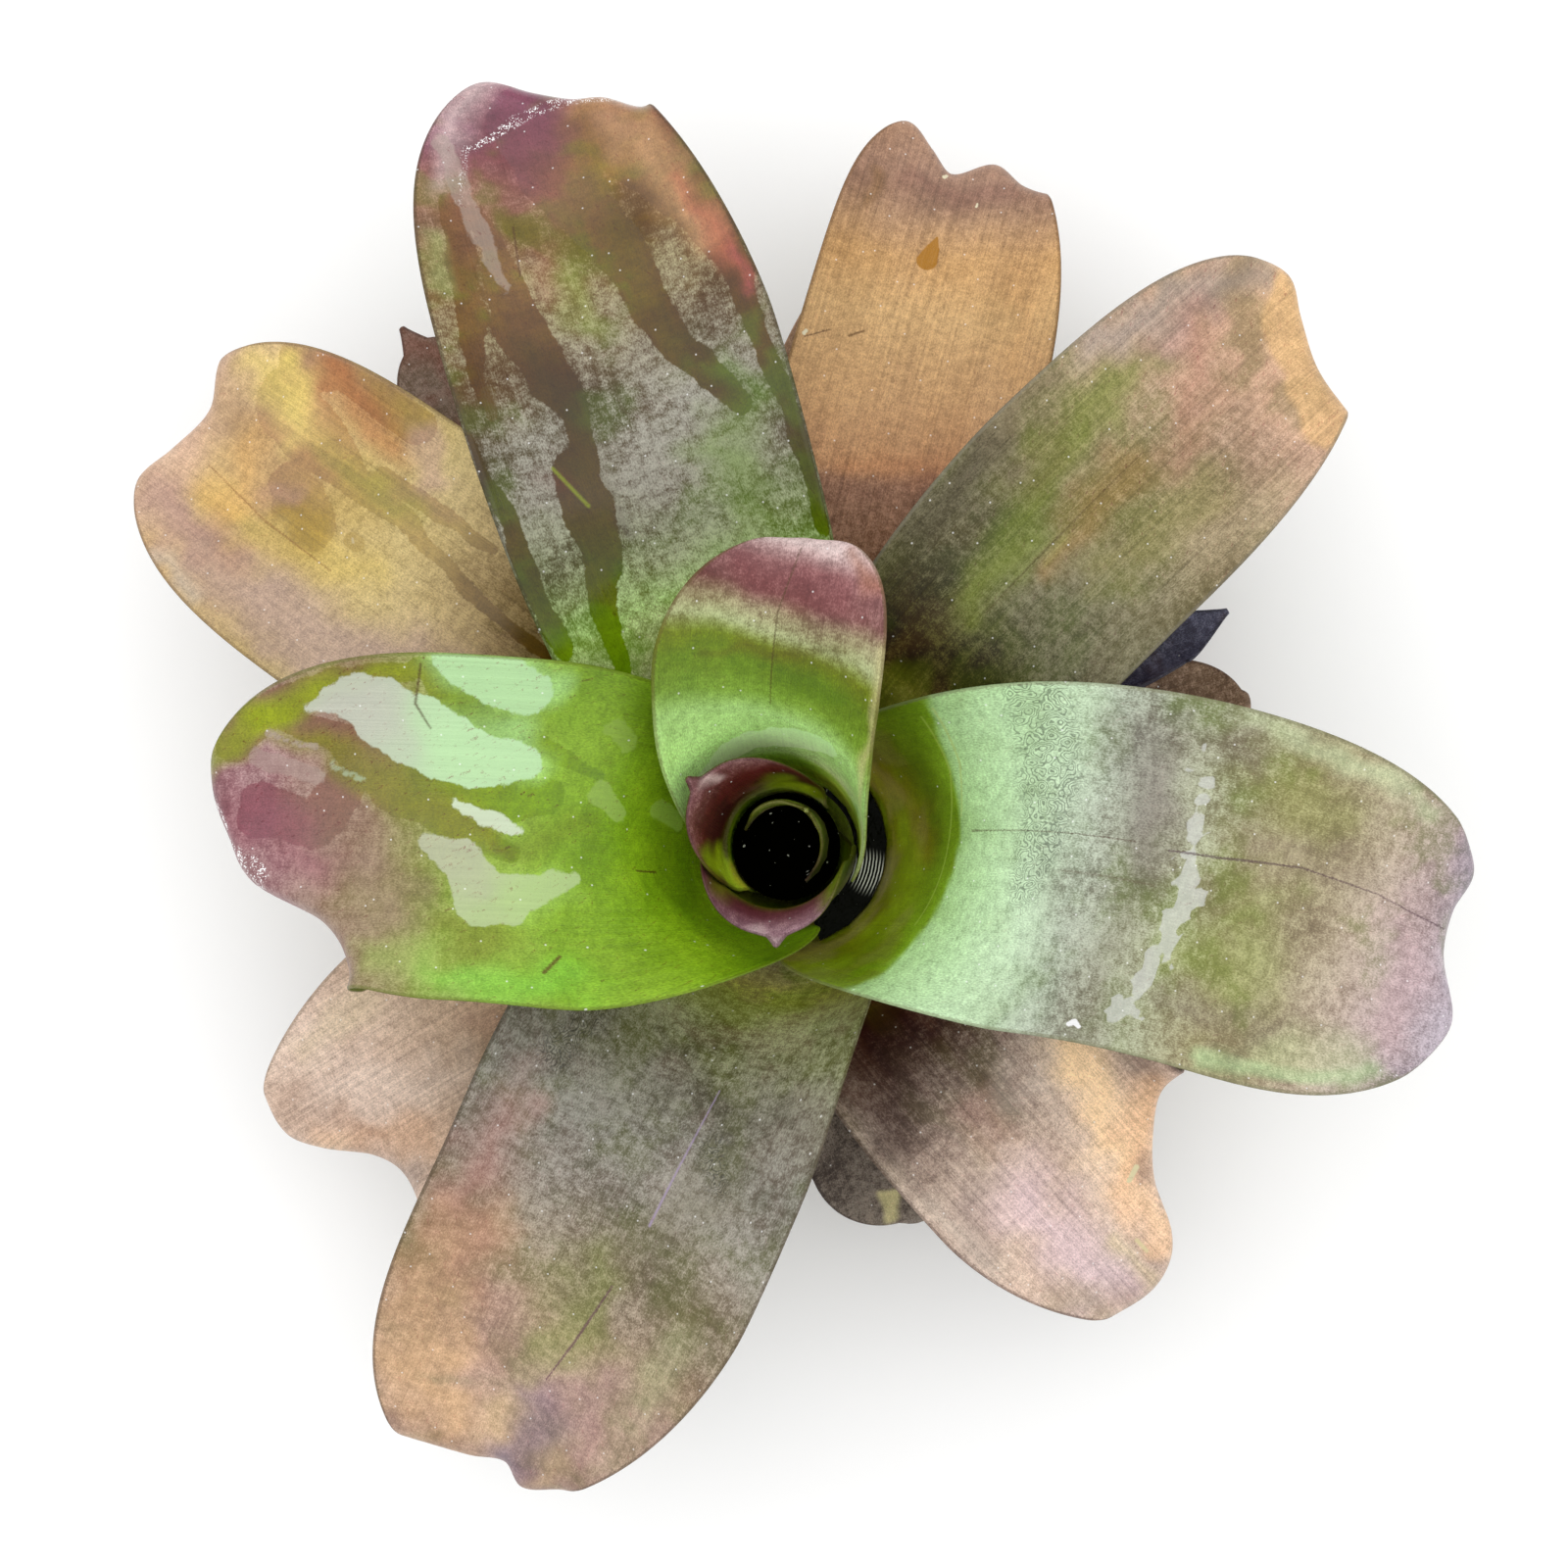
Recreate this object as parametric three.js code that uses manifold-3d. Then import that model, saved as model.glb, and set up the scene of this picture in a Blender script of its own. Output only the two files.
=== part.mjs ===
// A young imperial bromeliad, lifted out of the ground and standing on its cut stem.
// Broad strap leaves spring from a short cone of stem. Their bases are sheaths that wrap
// round one another and hold water; their blades arch out and the tips turn down.
// Millimetres, +Z up. The origin is the centre of the stem's cut face.
import * as THREE from "three";
import { mergeVertices } from "three/addons/utils/BufferGeometryUtils.js";
import Module from "manifold-3d";

// The stem is a blunt cone on which every leaf has its foot, one below the other.
const STEM = { foot: 32, top: 7.5, height: 84, taperStart: 16, dome: 3, edge: 1.5 };
const SCARS = { count: 4, from: 4.5, pitch: 3.2, relief: 0.7 };
const STEM_SIDES = 28;
const FOOT_TOP = 78;
const FOOT_STEP = 3.2;
const FOOT_GAP = 0.75;
const FOOT_SLOPE = 32;

// The stem leans a little, so the heart of the plant is not quite above its foot.
const LEAN = { start: 60, x: -0.095, y: 0.075 };

// A leaf is fleshy along its midrib and thin at its margins. It ends in a small point, which
// widens backwards into the rounded end of the blade.
const RIB_THICKNESS = 1.6;
const MARGIN_THICKNESS = 0.9;
const POINT = { halfWidth: 0.5, taper: 0.36, power: 1.15, reach: 3 };

// How far a midrib's curve follows the slopes at its two ends, as a share of its chord.
const SHEATH_REACH = 0.5;
const BLADE_REACH = 0.42;
const SHEATH_SPREAD = 1.7;

// The shares of the blade over which it comes free of its sheath's round form, over which it
// turns towards its apex, and at its end that has the closer rows of cells.
const FREED = 0.35;
const APEX_ZONE = 0.45;
const TIP_ZONE = 0.32;
const WAVES = 7;

// Rain water stands in the heart and in the axil of the right leaf, clear of what holds it.
const CLEAR = 0.35;
const CUP = { floor: 82, level: 97, radius: 16.5 };
const AXIL = { floor: 79, level: 87.5, inner: 20, outer: 36, from: -72, to: 66 };
const WATER_STEPS = 20;
const POOL_LEAVES = 6;

const DEGREE = Math.PI / 180;
const RIB_SAMPLES = 160;
const STEP = 0.25;

// What a leaf has unless its own entry says otherwise.
const PLAIN_LEAF = {
  wrap: 110, sweep: 0, channel: 26, opens: 0.3, widest: 0.5, blunt: { left: 2.6, right: 2.6 },
  point: 7, apexShift: 0, wave: 1.2, rows: { sheath: 5, blade: 8, tip: 8 }, columns: 10,
};

// The leaves lowest down show only their ends, and take fewer cells.
const FEW_CELLS = { rows: { sheath: 4, blade: 6, tip: 5 }, columns: 6 };

// Every leaf, from the heart outwards. azimuth turns from +X towards +Y. collar and tip are
// [radius, height] where the sheath ends and where the rounded blade ends; rise and droop are
// the midrib's angles above the horizontal there. left and right are half widths, left being
// the side towards a greater azimuth: of the neck at the collar, then of the blade. fold says
// how the tip turns down: how far round, how tightly, and how far past the collar the leaf
// reaches before it does, as [way across, reach] from right to left.
const LEAVES = [
  { name: "leaf_heart_inner", order: 0, azimuth: 50, collar: [13.2, 92], rise: 90,
    tip: [12.5, 110], droop: 88, neck: { left: 27, right: 27 }, blade: { left: 22, right: 22 },
    wrap: 125, channel: 100, point: 2, blunt: { left: 2.4, right: 2.4 } },
  { name: "leaf_heart_middle", order: 1, azimuth: 145, collar: [17.5, 98], rise: 90,
    tip: [25.5, 146], droop: 56, neck: { left: 27, right: 32 }, blade: { left: 25, right: 29 },
    wrap: 125, channel: 80, point: 5, blunt: { left: 2.4, right: 2.4 } },
  { name: "leaf_heart_outer", order: 2, azimuth: 274, spring: 66, collar: [21.5, 98], rise: 90,
    tip: [29, 141], droop: 55, neck: { left: 32, right: 34 }, blade: { left: 25, right: 31 },
    wrap: 122, channel: 80, point: 6, blunt: { left: 2.4, right: 2.4 } },
  { name: "leaf_young_back", order: 3, azimuth: 94, spring: 61, collar: [25.5, 118], rise: 84,
    tip: [86, 166], droop: -18, neck: { left: 36, right: 54 }, blade: { left: 33, right: 38 },
    wrap: 125, sweep: -8, channel: 52, tipChannel: 34, opens: 0.55, blunt: { left: 2.2, right: 2.2 },
    apexShift: -6,
    fold: { turn: 95, radius: 7, reach: [[-38, 93], [-19, 89], [0, 89], [19, 93], [38, 101]] } },
  { name: "leaf_left", order: 4, azimuth: 178, collar: [31.5, 114], rise: 70,
    tip: [168, 142], droop: -22, neck: { left: 60, right: 48 }, blade: { left: 53.5, right: 49 },
    wrap: 118, channel: 30, blunt: { left: 1.6, right: 2.1 },
    fold: { turn: 100, radius: 8,
      reach: [[-30, 156], [-8, 155], [5, 149], [18, 139], [28, 115], [42, 104], [54, 104]] } },
  { name: "leaf_right", order: 5, azimuth: 3.5, collar: [38, 106], rise: 66,
    tip: [215, 127], droop: -20, neck: { left: 41, right: 60 }, blade: { left: 45.5, right: 62.5 },
    wrap: 116, sweep: -12, channel: 28, widest: 0.58, blunt: { left: 2.6, right: 2.6 },
    fold: { turn: 100, radius: 8,
      reach: [[-45, 186], [-24, 194], [-5, 188], [8, 188], [20, 192], [34, 184]] } },
  { name: "leaf_back_left", order: 6, azimuth: 108.3, collar: [42, 98], rise: 62,
    tip: [254, 101], droop: -24, neck: { left: 45, right: 43 }, blade: { left: 48, right: 51 },
    wrap: 114, blunt: { left: 3.2, right: 1.5 },
    fold: { turn: 95, radius: 8,
      reach: [[-32, 203], [-19, 214], [-10, 218], [0, 225], [14, 235], [28, 230], [40, 222]] } },
  { name: "leaf_back_right", order: 7, azimuth: 45, collar: [45, 93], rise: 60,
    tip: [239, 97], droop: -22, neck: { left: 33, right: 42 }, blade: { left: 42, right: 42.5 },
    wrap: 112, blunt: { left: 3.3, right: 2.2 },
    fold: { turn: 95, radius: 8,
      reach: [[-40, 186], [-26, 190], [-12, 195], [2, 204], [13, 211], [24, 206], [40, 196]] } },
  { name: "leaf_front", order: 8, azimuth: 242.5, collar: [48, 89], rise: 58,
    tip: [224, 88], droop: -20, neck: { left: 54, right: 52 }, blade: { left: 62, right: 45.5 },
    blunt: { left: 1.55, right: 3.2 }, point: 9,
    fold: { turn: 85, radius: 8,
      reach: [[-40, 192], [-24, 189], [0, 184], [11, 180], [19, 185], [34, 177]] } },
  { name: "leaf_low_left", order: 9, azimuth: 145, collar: [51, 80], rise: 52,
    tip: [240, 78], droop: -18, neck: { left: 46, right: 47 }, blade: { left: 48, right: 48.5 },
    wrap: 108, blunt: { left: 2.9, right: 3.1 },
    fold: { turn: 95, radius: 8,
      reach: [[-40, 190], [-23, 199], [-8, 193], [8, 196], [21, 199], [40, 192]] } },
  { name: "leaf_low_back", order: 10, azimuth: 76, collar: [54, 76], rise: 52,
    tip: [237.5, 70], droop: -20, neck: { left: 40, right: 42 }, blade: { left: 33.5, right: 46 },
    wrap: 106, channel: 24, blunt: { left: 6, right: 2 },
    fold: { turn: 95, radius: 8,
      reach: [[-30, 180], [-20, 182], [-10, 188], [2, 181], [10, 188], [18, 195], [30, 194]] } },
  { name: "leaf_low_right", order: 11, azimuth: 312, collar: [56.5, 72], rise: 48,
    tip: [189.5, 67], droop: -18, neck: { left: 45, right: 45 }, blade: { left: 44, right: 46 },
    wrap: 104, channel: 24, blunt: { left: 2.4, right: 1.65 },
    fold: { turn: 95, radius: 8,
      reach: [[-30, 131], [-10, 135], [1, 132], [8, 124], [14, 108], [24, 94], [34, 85], [46, 84]] } },
  { name: "leaf_low_front", order: 12, azimuth: 209.5, collar: [59, 68], rise: 46,
    tip: [194.5, 59.5], droop: -18, neck: { left: 40, right: 39 }, blade: { left: 42, right: 39 },
    wrap: 102, channel: 24, blunt: { left: 2.4, right: 1.25 },
    fold: { turn: 95, radius: 8,
      reach: [[-30, 132], [-14, 138], [-1, 138], [8, 129], [18, 113], [28, 105], [44, 103]] } },
  { name: "leaf_under_back", order: 13, azimuth: 79.5, collar: [60, 63], rise: 42,
    tip: [212, 42], droop: -18, neck: { left: 36, right: 36 }, blade: { left: 33, right: 34 },
    wrap: 98, channel: 22, blunt: { left: 1.5, right: 1.9 }, ...FEW_CELLS,
    fold: { turn: 80, radius: 8,
      reach: [[-34, 183], [-17, 171], [0, 167], [17, 171], [34, 183]] } },
  { name: "leaf_withered_left", order: 14, azimuth: 127, collar: [61, 58], rise: 38,
    tip: [204, 48], droop: -8, neck: { left: 30, right: 30 }, blade: { left: 25, right: 25 },
    wrap: 92, channel: 46, blunt: { left: 2.2, right: 2.2 }, ...FEW_CELLS },
  { name: "leaf_withered_front", order: 15, azimuth: 288, collar: [60, 53], rise: 36,
    tip: [126, 42], droop: -14, neck: { left: 28, right: 28 }, blade: { left: 28, right: 28 },
    wrap: 88, channel: 30, blunt: { left: 2.4, right: 2.4 }, ...FEW_CELLS,
    fold: { turn: 80, radius: 6, reach: [[-28, 79], [-14, 73], [0, 73], [14, 78], [28, 90]] } },
  { name: "leaf_withered_curl", order: 16, azimuth: 29, collar: [58, 51], rise: 36,
    tip: [152, 50], droop: 2, neck: { left: 20, right: 20 }, blade: { left: 15, right: 15 },
    wrap: 84, channel: 110, blunt: { left: 2, right: 2 }, ...FEW_CELLS },
  { name: "leaf_withered_right", order: 17, azimuth: 18, collar: [56, 38], rise: 26,
    tip: [156, 28], droop: -12, neck: { left: 26, right: 26 }, blade: { left: 25, right: 25 },
    wrap: 80, channel: 24, blunt: { left: 2.4, right: 2.4 }, ...FEW_CELLS,
    fold: { turn: 80, radius: 6,
      reach: [[-25, 113], [-12, 106], [0, 106], [12, 111], [25, 123]] } },
];

const clamp01 = (x) => Math.min(1, Math.max(0, x));
const smooth = (x) => clamp01(x) ** 2 * (3 - 2 * clamp01(x));
const mix = (a, b, t) => a + (b - a) * t;

// The value at x of a smooth curve through [x, value] stops, level beyond them.
function curveThrough(stops, x) {
  const last = stops.length - 1;
  if (x <= stops[0][0]) return stops[0][1];
  if (x >= stops[last][0]) return stops[last][1];
  const i = stops.findIndex(([place]) => place > x);
  const slope = (k) => (k === 0 || k === last
    ? 0 : (stops[k + 1][1] - stops[k - 1][1]) / (stops[k + 1][0] - stops[k - 1][0]));
  const width = stops[i][0] - stops[i - 1][0];
  const u = (x - stops[i - 1][0]) / width;
  return stops[i - 1][1] * (1 - u * u * (3 - 2 * u)) + stops[i][1] * u * u * (3 - 2 * u)
    + slope(i - 1) * width * u * (1 - u) ** 2 - slope(i) * width * u * u * (1 - u);
}

// The stem's radius at a height, which the leaves' feet follow.
function stemRadius(z) {
  return mix(STEM.foot, STEM.top, clamp01((z - STEM.taperStart) / (STEM.height - STEM.taperStart)));
}

// The place of a point once the plant leans.
function leaned(p) {
  const lift = Math.max(0, p.z - LEAN.start);
  p.x += LEAN.x * lift;
  p.y += LEAN.y * lift;
  return p;
}

// A cubic curve in the plane of radius and height, leaving and arriving at given slopes.
function arc(from, fromSlope, to, toSlope, reach) {
  const way = reach * Math.hypot(to[0] - from[0], to[1] - from[1]);
  const step = (p, slope, length) => new THREE.Vector2(
    p[0] + Math.cos(slope * DEGREE) * length,
    p[1] + Math.sin(slope * DEGREE) * length,
  );
  return new THREE.CubicBezierCurve(
    new THREE.Vector2(...from), step(from, fromSlope, way),
    step(to, toSlope, -way), new THREE.Vector2(...to));
}

// A leaf's midrib by arc length: its sheath from the foot to the collar, then its blade.
// An inner sheath stands steeper at its foot, so that no sheath bulges into the next.
function ribOf(leaf) {
  const footHeight = FOOT_TOP - FOOT_STEP * leaf.order;
  const foot = [stemRadius(footHeight) + FOOT_GAP + RIB_THICKNESS / 2, footHeight];
  const [run, climb] = [leaf.collar[0] - foot[0], leaf.collar[1] - foot[1]];
  const steepest = Math.acos(Math.min(1, (SHEATH_SPREAD * run) / Math.hypot(run, climb))) / DEGREE;
  const spring = leaf.spring ?? Math.max(FOOT_SLOPE, steepest);
  const sheath = arc(foot, spring, leaf.collar, leaf.rise, SHEATH_REACH);
  const blade = arc(leaf.collar, leaf.rise, leaf.tip, leaf.droop, BLADE_REACH);
  const points = [];
  for (const curve of [sheath, blade])
    for (let i = 0; i < RIB_SAMPLES; i++) points.push(curve.getPoint(i / RIB_SAMPLES));
  points.push(blade.getPoint(1));
  const along = [0];
  for (let i = 1; i < points.length; i++) along.push(along[i - 1] + points[i].distanceTo(points[i - 1]));
  const last = points[points.length - 1];
  const end = last.clone().sub(points[points.length - 2]).normalize();
  const rounded = along[along.length - 1];
  const at = (s) => {
    if (s >= rounded) {
      const past = s - rounded;
      return { r: last.x + end.x * past, z: last.y + end.y * past, slope: Math.atan2(end.y, end.x) };
    }
    let i = 1;
    let top = along.length - 1;
    while (i < top) {
      const middle = (i + top) >> 1;
      if (along[middle] < s) i = middle + 1;
      else top = middle;
    }
    const p = points[i - 1].clone().lerp(points[i], (s - along[i - 1]) / (along[i] - along[i - 1]));
    const way = points[i].clone().sub(points[i - 1]);
    return { r: p.x, z: p.y, slope: Math.atan2(way.y, way.x) };
  };
  return { at, collar: along[RIB_SAMPLES], rounded, foot: foot[0] };
}

// The leaf's middle surface: at and face give its place and its normal for the way along it
// and the way across, -1 to 1, and rows are the arc lengths at which its cells end. spare
// makes it that much wider on both sides.
function surfaceOf(leaf, spare) {
  const rib = ribOf(leaf);
  const total = rib.rounded + leaf.point;
  const bladeLength = rib.rounded - rib.collar;
  const bladePart = (s) => clamp01((s - rib.collar) / bladeLength);
  const broadest = Math.max(leaf.blade.left, leaf.blade.right);

  const halfWidth = (s, v) => {
    const neck = v > 0 ? leaf.neck.left : leaf.neck.right;
    const blade = v > 0 ? leaf.blade.left : leaf.blade.right;
    if (s < rib.collar) return mix(rib.foot * leaf.wrap * DEGREE, neck, smooth(s / rib.collar));
    const f = bladePart(s);
    if (f < leaf.widest) return mix(neck, blade, smooth(f / leaf.widest));
    const left = Math.max(0, total - s);
    const blunt = v > 0 ? leaf.blunt.left : leaf.blunt.right;
    const round = blade * Math.sqrt(1 - ((f - leaf.widest) / (1 - leaf.widest)) ** blunt);
    if (left > POINT.reach * leaf.point) return round;
    return Math.max(round, POINT.halfWidth + POINT.taper * left ** POINT.power);
  };

  const flat = (s, t) => {
    const { r, z, slope } = rib.at(s);
    const f = bladePart(s);
    const sweep = leaf.sweep * DEGREE;
    const turn = leaf.azimuth * DEGREE + sweep * smooth(f);
    const free = smooth(f / FREED);
    const turning = (sweep * 6 * f * (1 - f)) / bladeLength;
    const heading = turn + free * Math.atan2(r * turning, Math.max(0.3, Math.cos(slope)));
    const round = turn + t / r;
    const wrapped = new THREE.Vector3(r * Math.cos(round), r * Math.sin(round), z);
    const tangent = new THREE.Vector3(
      Math.cos(slope) * Math.cos(heading), Math.cos(slope) * Math.sin(heading), Math.sin(slope));
    const side = new THREE.Vector3(-Math.sin(heading), Math.cos(heading), 0);
    const up = new THREE.Vector3().crossVectors(tangent, side);
    const channel = (mix(leaf.channel, leaf.tipChannel ?? leaf.channel, smooth(f)) * DEGREE) / broadest;
    const curl = mix(1 / rib.at(rib.collar).r, channel, smooth(f / leaf.opens));
    const blade = new THREE.Vector3(r * Math.cos(turn), r * Math.sin(turn), z)
      .addScaledVector(side, Math.sin(t * curl) / curl)
      .addScaledVector(up, (1 - Math.cos(t * curl)) / curl);
    const wave = leaf.wave * (t / broadest) ** 2 * Math.sin(WAVES * f + leaf.azimuth);
    blade.addScaledVector(up, free * wave);
    return leaned(wrapped.lerp(blade, free));
  };

  const normalOf = (f, s, t) => {
    const along = f(s + STEP, t).sub(f(s - STEP, t));
    const across = f(s, t + STEP).sub(f(s, t - STEP));
    return along.cross(across).normalize();
  };

  const turned = (s, t) => {
    if (!leaf.fold) return flat(s, t);
    const { turn, radius, reach } = leaf.fold;
    const start = rib.collar + curveThrough(reach, t) - radius;
    const past = s - start;
    if (past <= 0) return flat(s, t);
    const angle = Math.min(past / radius, turn * DEGREE);
    const rest = Math.max(0, past - radius * turn * DEGREE);
    const forward = start + radius * Math.sin(angle) + rest * Math.cos(angle);
    const down = radius * (1 - Math.cos(angle)) + rest * Math.sin(angle);
    return flat(forward, t).addScaledVector(normalOf(flat, forward, t), -down);
  };

  const shift = (s) => leaf.apexShift * smooth((bladePart(s) - 1 + APEX_ZONE) / APEX_ZONE);
  const across = (s, v) => shift(s) + v * (halfWidth(s, v) + spare);
  const at = (s, v) => turned(s, across(s, v));
  const face = (s, v) => normalOf(turned, s, across(s, v));

  const rows = [];
  const tipStart = rib.rounded - TIP_ZONE * bladeLength;
  const { sheath, blade, tip } = leaf.rows;
  for (let i = 0; i < sheath; i++) rows.push((rib.collar * i) / sheath);
  for (let i = 0; i < blade; i++) rows.push(mix(rib.collar, tipStart, i / blade));
  for (let i = 0; i < tip; i++)
    rows.push(mix(tipStart, rib.rounded - 0.5, Math.sin(((i / (tip - 1)) * Math.PI) / 2)));
  rows.push(total);
  return { at, face, rows };
}

// A closed skin round the leaf's middle surface, thick at the midrib and thin at the margins.
// spare makes it larger all over, for what has to stay clear of the leaf.
function leafGeometry(leaf, spare = 0) {
  const { at, face, rows } = surfaceOf(leaf, spare);
  const { columns } = leaf;
  const positions = [];
  for (const side of [1, -1])
    for (const s of rows)
      for (let j = 0; j <= columns; j++) {
        const v = (2 * j) / columns - 1;
        const half = mix(RIB_THICKNESS, MARGIN_THICKNESS, v * v) / 2 + spare;
        positions.push(...at(s, v).addScaledVector(face(s, v), side * half).toArray());
      }
  const across = columns + 1;
  const under = rows.length * across;
  const triangles = [];
  const quad = (a, b, c, d) => triangles.push(a, b, c, a, c, d);
  for (let i = 0; i + 1 < rows.length; i++) {
    for (let j = 0; j < columns; j++) {
      const a = i * across + j;
      const b = a + across;
      quad(a, b, b + 1, a + 1);
      triangles.push(a + under, b + 1 + under, b + under, a + under, a + 1 + under, b + 1 + under);
    }
    const right = i * across;
    const left = right + columns;
    quad(right, right + under, right + across + under, right + across);
    quad(left, left + across, left + across + under, left + under);
  }
  for (let j = 0; j < columns; j++) {
    const last = (rows.length - 1) * across + j;
    quad(j, j + 1, j + 1 + under, j + under);
    quad(last, last + under, last + 1 + under, last + 1);
  }
  const geometry = new THREE.BufferGeometry();
  geometry.setAttribute("position", new THREE.Float32BufferAttribute(positions, 3));
  geometry.setIndex(triangles);
  return geometry;
}

// The stem: a cut face to stand on, a short stub ringed with leaf scars, and the cone that
// the leaves grow from.
function stemGeometry(spare = 0) {
  const outline = [new THREE.Vector2(0, 0), new THREE.Vector2(STEM.foot - STEM.edge, 0)];
  outline.push(new THREE.Vector2(STEM.foot, STEM.edge));
  for (let i = 0; i < SCARS.count; i++) {
    const z = SCARS.from + i * SCARS.pitch;
    outline.push(new THREE.Vector2(STEM.foot - SCARS.relief, z - SCARS.pitch / 3));
    outline.push(new THREE.Vector2(STEM.foot, z));
  }
  const steps = 5;
  for (let i = 0; i <= steps; i++) {
    const z = mix(STEM.taperStart, STEM.height, i / steps);
    outline.push(new THREE.Vector2(stemRadius(z) + spare, z));
  }
  outline.push(new THREE.Vector2(0, STEM.height + STEM.dome + spare));
  const geometry = new THREE.LatheGeometry(outline, STEM_SIDES).rotateX(Math.PI / 2);
  const place = geometry.getAttribute("position");
  const p = new THREE.Vector3();
  for (let i = 0; i < place.count; i++) {
    leaned(p.fromBufferAttribute(place, i));
    place.setXYZ(i, p.x, p.y, p.z);
  }
  return geometry;
}

// A closed mesh as a solid that can be joined and cut, and back again.
function solidOf(geometry) {
  const bare = geometry.index ? geometry.toNonIndexed() : geometry.clone();
  for (const name of Object.keys(bare.attributes)) if (name !== "position") bare.deleteAttribute(name);
  const merged = mergeVertices(bare, 1e-4);
  return new wasm.Manifold(new wasm.Mesh({
    numProp: 3,
    vertProperties: merged.getAttribute("position").array,
    triVerts: new Uint32Array(merged.index.array),
  }));
}

function geometryOf(solid) {
  const { vertProperties, triVerts } = solid.getMesh();
  const geometry = new THREE.BufferGeometry();
  geometry.setAttribute("position", new THREE.Float32BufferAttribute(vertProperties, 3));
  geometry.setIndex(Array.from(triVerts));
  return geometry;
}

// Water fills the block it is given, up to its level, but for what stands in it. Of the
// pieces that are left, the largest is the pool.
function poolGeometry(block, around) {
  let pool = solidOf(block);
  for (const solid of around) pool = pool.subtract(solid);
  const pieces = pool.decompose().sort((a, b) => b.volume() - a.volume());
  return geometryOf(pieces[0]);
}

// The block of water in the heart: a drum over the stem's top.
function cupBlock() {
  const height = CUP.level - CUP.floor;
  const drum = new THREE.CylinderGeometry(CUP.radius, CUP.radius, height, 2 * WATER_STEPS);
  drum.rotateX(Math.PI / 2);
  return drum.translate(...leaned(new THREE.Vector3(0, 0, (CUP.floor + CUP.level) / 2)).toArray());
}

// The block of water in the right leaf's axil: part of a ring round the heart.
function axilBlock() {
  const outline = new THREE.Shape();
  outline.absarc(0, 0, AXIL.outer, AXIL.from * DEGREE, AXIL.to * DEGREE, false);
  outline.absarc(0, 0, AXIL.inner, AXIL.to * DEGREE, AXIL.from * DEGREE, true);
  const depth = AXIL.level - AXIL.floor;
  const ring = new THREE.ExtrudeGeometry(outline, { depth, bevelEnabled: false, curveSegments: WATER_STEPS });
  return ring.translate(...leaned(new THREE.Vector3(0, 0, AXIL.floor)).toArray());
}

function material(color, roughness) {
  return new THREE.MeshStandardMaterial({ color, roughness, metalness: 0 });
}

const GREEN = material(0x7f9a45, 0.4);
const BARK = material(0x6b5338, 0.9);
const WATER = material(0xdfeeee, 0.05);

const plant = new THREE.Group();
function add(name, geometry, finish) {
  const mesh = new THREE.Mesh(geometry, finish);
  mesh.name = name;
  plant.add(mesh);
}

const grown = LEAVES.map((leaf) => ({ ...PLAIN_LEAF, ...leaf }));
for (const leaf of grown) add(leaf.name, leafGeometry(leaf), GREEN);
add("stem", stemGeometry(), BARK);

// What the two pools lie between: the stem's top and the leaves as far out as the right leaf.
const wasm = await Module();
wasm.setup();
const hollows = grown.slice(0, POOL_LEAVES).map((leaf) => solidOf(leafGeometry(leaf, CLEAR)));
hollows.push(solidOf(stemGeometry(CLEAR)));
add("water_heart", poolGeometry(cupBlock(), hollows), WATER);
add("water_axil", poolGeometry(axilBlock(), hollows), WATER);

export default plant;
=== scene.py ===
"""A young imperial bromeliad, lifted out of the ground and standing on its cut stem.

Every leaf is a flat blank of fine cells that is bent to the leaf's form, the same form that the
frame's coarse solid has. Its skin is painted by nodes that follow the leaf: the flesh changes
colour from the base to the tip, a dry bloom veils it, and wet streaks clear the bloom away.
Some light is painted in too: a pale sheen in the bloom of a few leaves, white glints, shade
low in the heart, and near-black pools with painted ridges of reflected light.
"""

import logging
import math
from collections.abc import Callable
from dataclasses import dataclass
from enum import IntEnum, StrEnum

import bmesh
import bpy
import numpy as np
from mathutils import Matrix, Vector


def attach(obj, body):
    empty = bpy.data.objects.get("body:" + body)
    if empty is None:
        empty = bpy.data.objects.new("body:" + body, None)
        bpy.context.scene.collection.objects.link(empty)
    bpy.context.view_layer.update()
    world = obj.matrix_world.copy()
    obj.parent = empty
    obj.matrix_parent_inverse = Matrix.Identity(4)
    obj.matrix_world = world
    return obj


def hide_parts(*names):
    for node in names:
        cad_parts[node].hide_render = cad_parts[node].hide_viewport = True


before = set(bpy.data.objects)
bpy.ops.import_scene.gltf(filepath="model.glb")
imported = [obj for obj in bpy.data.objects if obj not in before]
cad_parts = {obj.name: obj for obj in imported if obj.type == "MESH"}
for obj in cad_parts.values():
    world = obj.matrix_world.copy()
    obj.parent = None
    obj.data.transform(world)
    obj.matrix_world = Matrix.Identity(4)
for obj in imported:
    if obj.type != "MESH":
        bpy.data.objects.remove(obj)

LOG = logging.getLogger("bromeliad")

# Leaves are given in millimetres, and become metres when their meshes are made.
MM = 0.001

# The stem is a blunt cone, and the plant leans a little above its foot.
STEM_FOOT = 32.0
STEM_TOP = 7.5
STEM_HEIGHT = 84.0
STEM_TAPER_START = 16.0
LEAN_START = 60.0
LEAN = (-0.095, 0.075)

# How the leaves stand on the stem, and the thickness of a leaf at its midrib and margins.
FOOT_TOP = 78.0
FOOT_STEP = 3.2
FOOT_GAP = 0.75
FOOT_SLOPE = 32.0
RIB_THICKNESS = 1.6
MARGIN_THICKNESS = 0.9

# A leaf's midrib: how far its curve follows the slopes at its ends, and its small point.
SHEATH_REACH = 0.5
BLADE_REACH = 0.42
SHEATH_SPREAD = 1.7
POINT_HALF_WIDTH = 0.5
POINT_TAPER = 0.36
POINT_POWER = 1.15
POINT_REACH = 3

# The shares of the blade over which it frees itself from the sheath and turns to its apex.
FREED = 0.35
APEX_ZONE = 0.45
TIP_ZONE = 0.32

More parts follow.
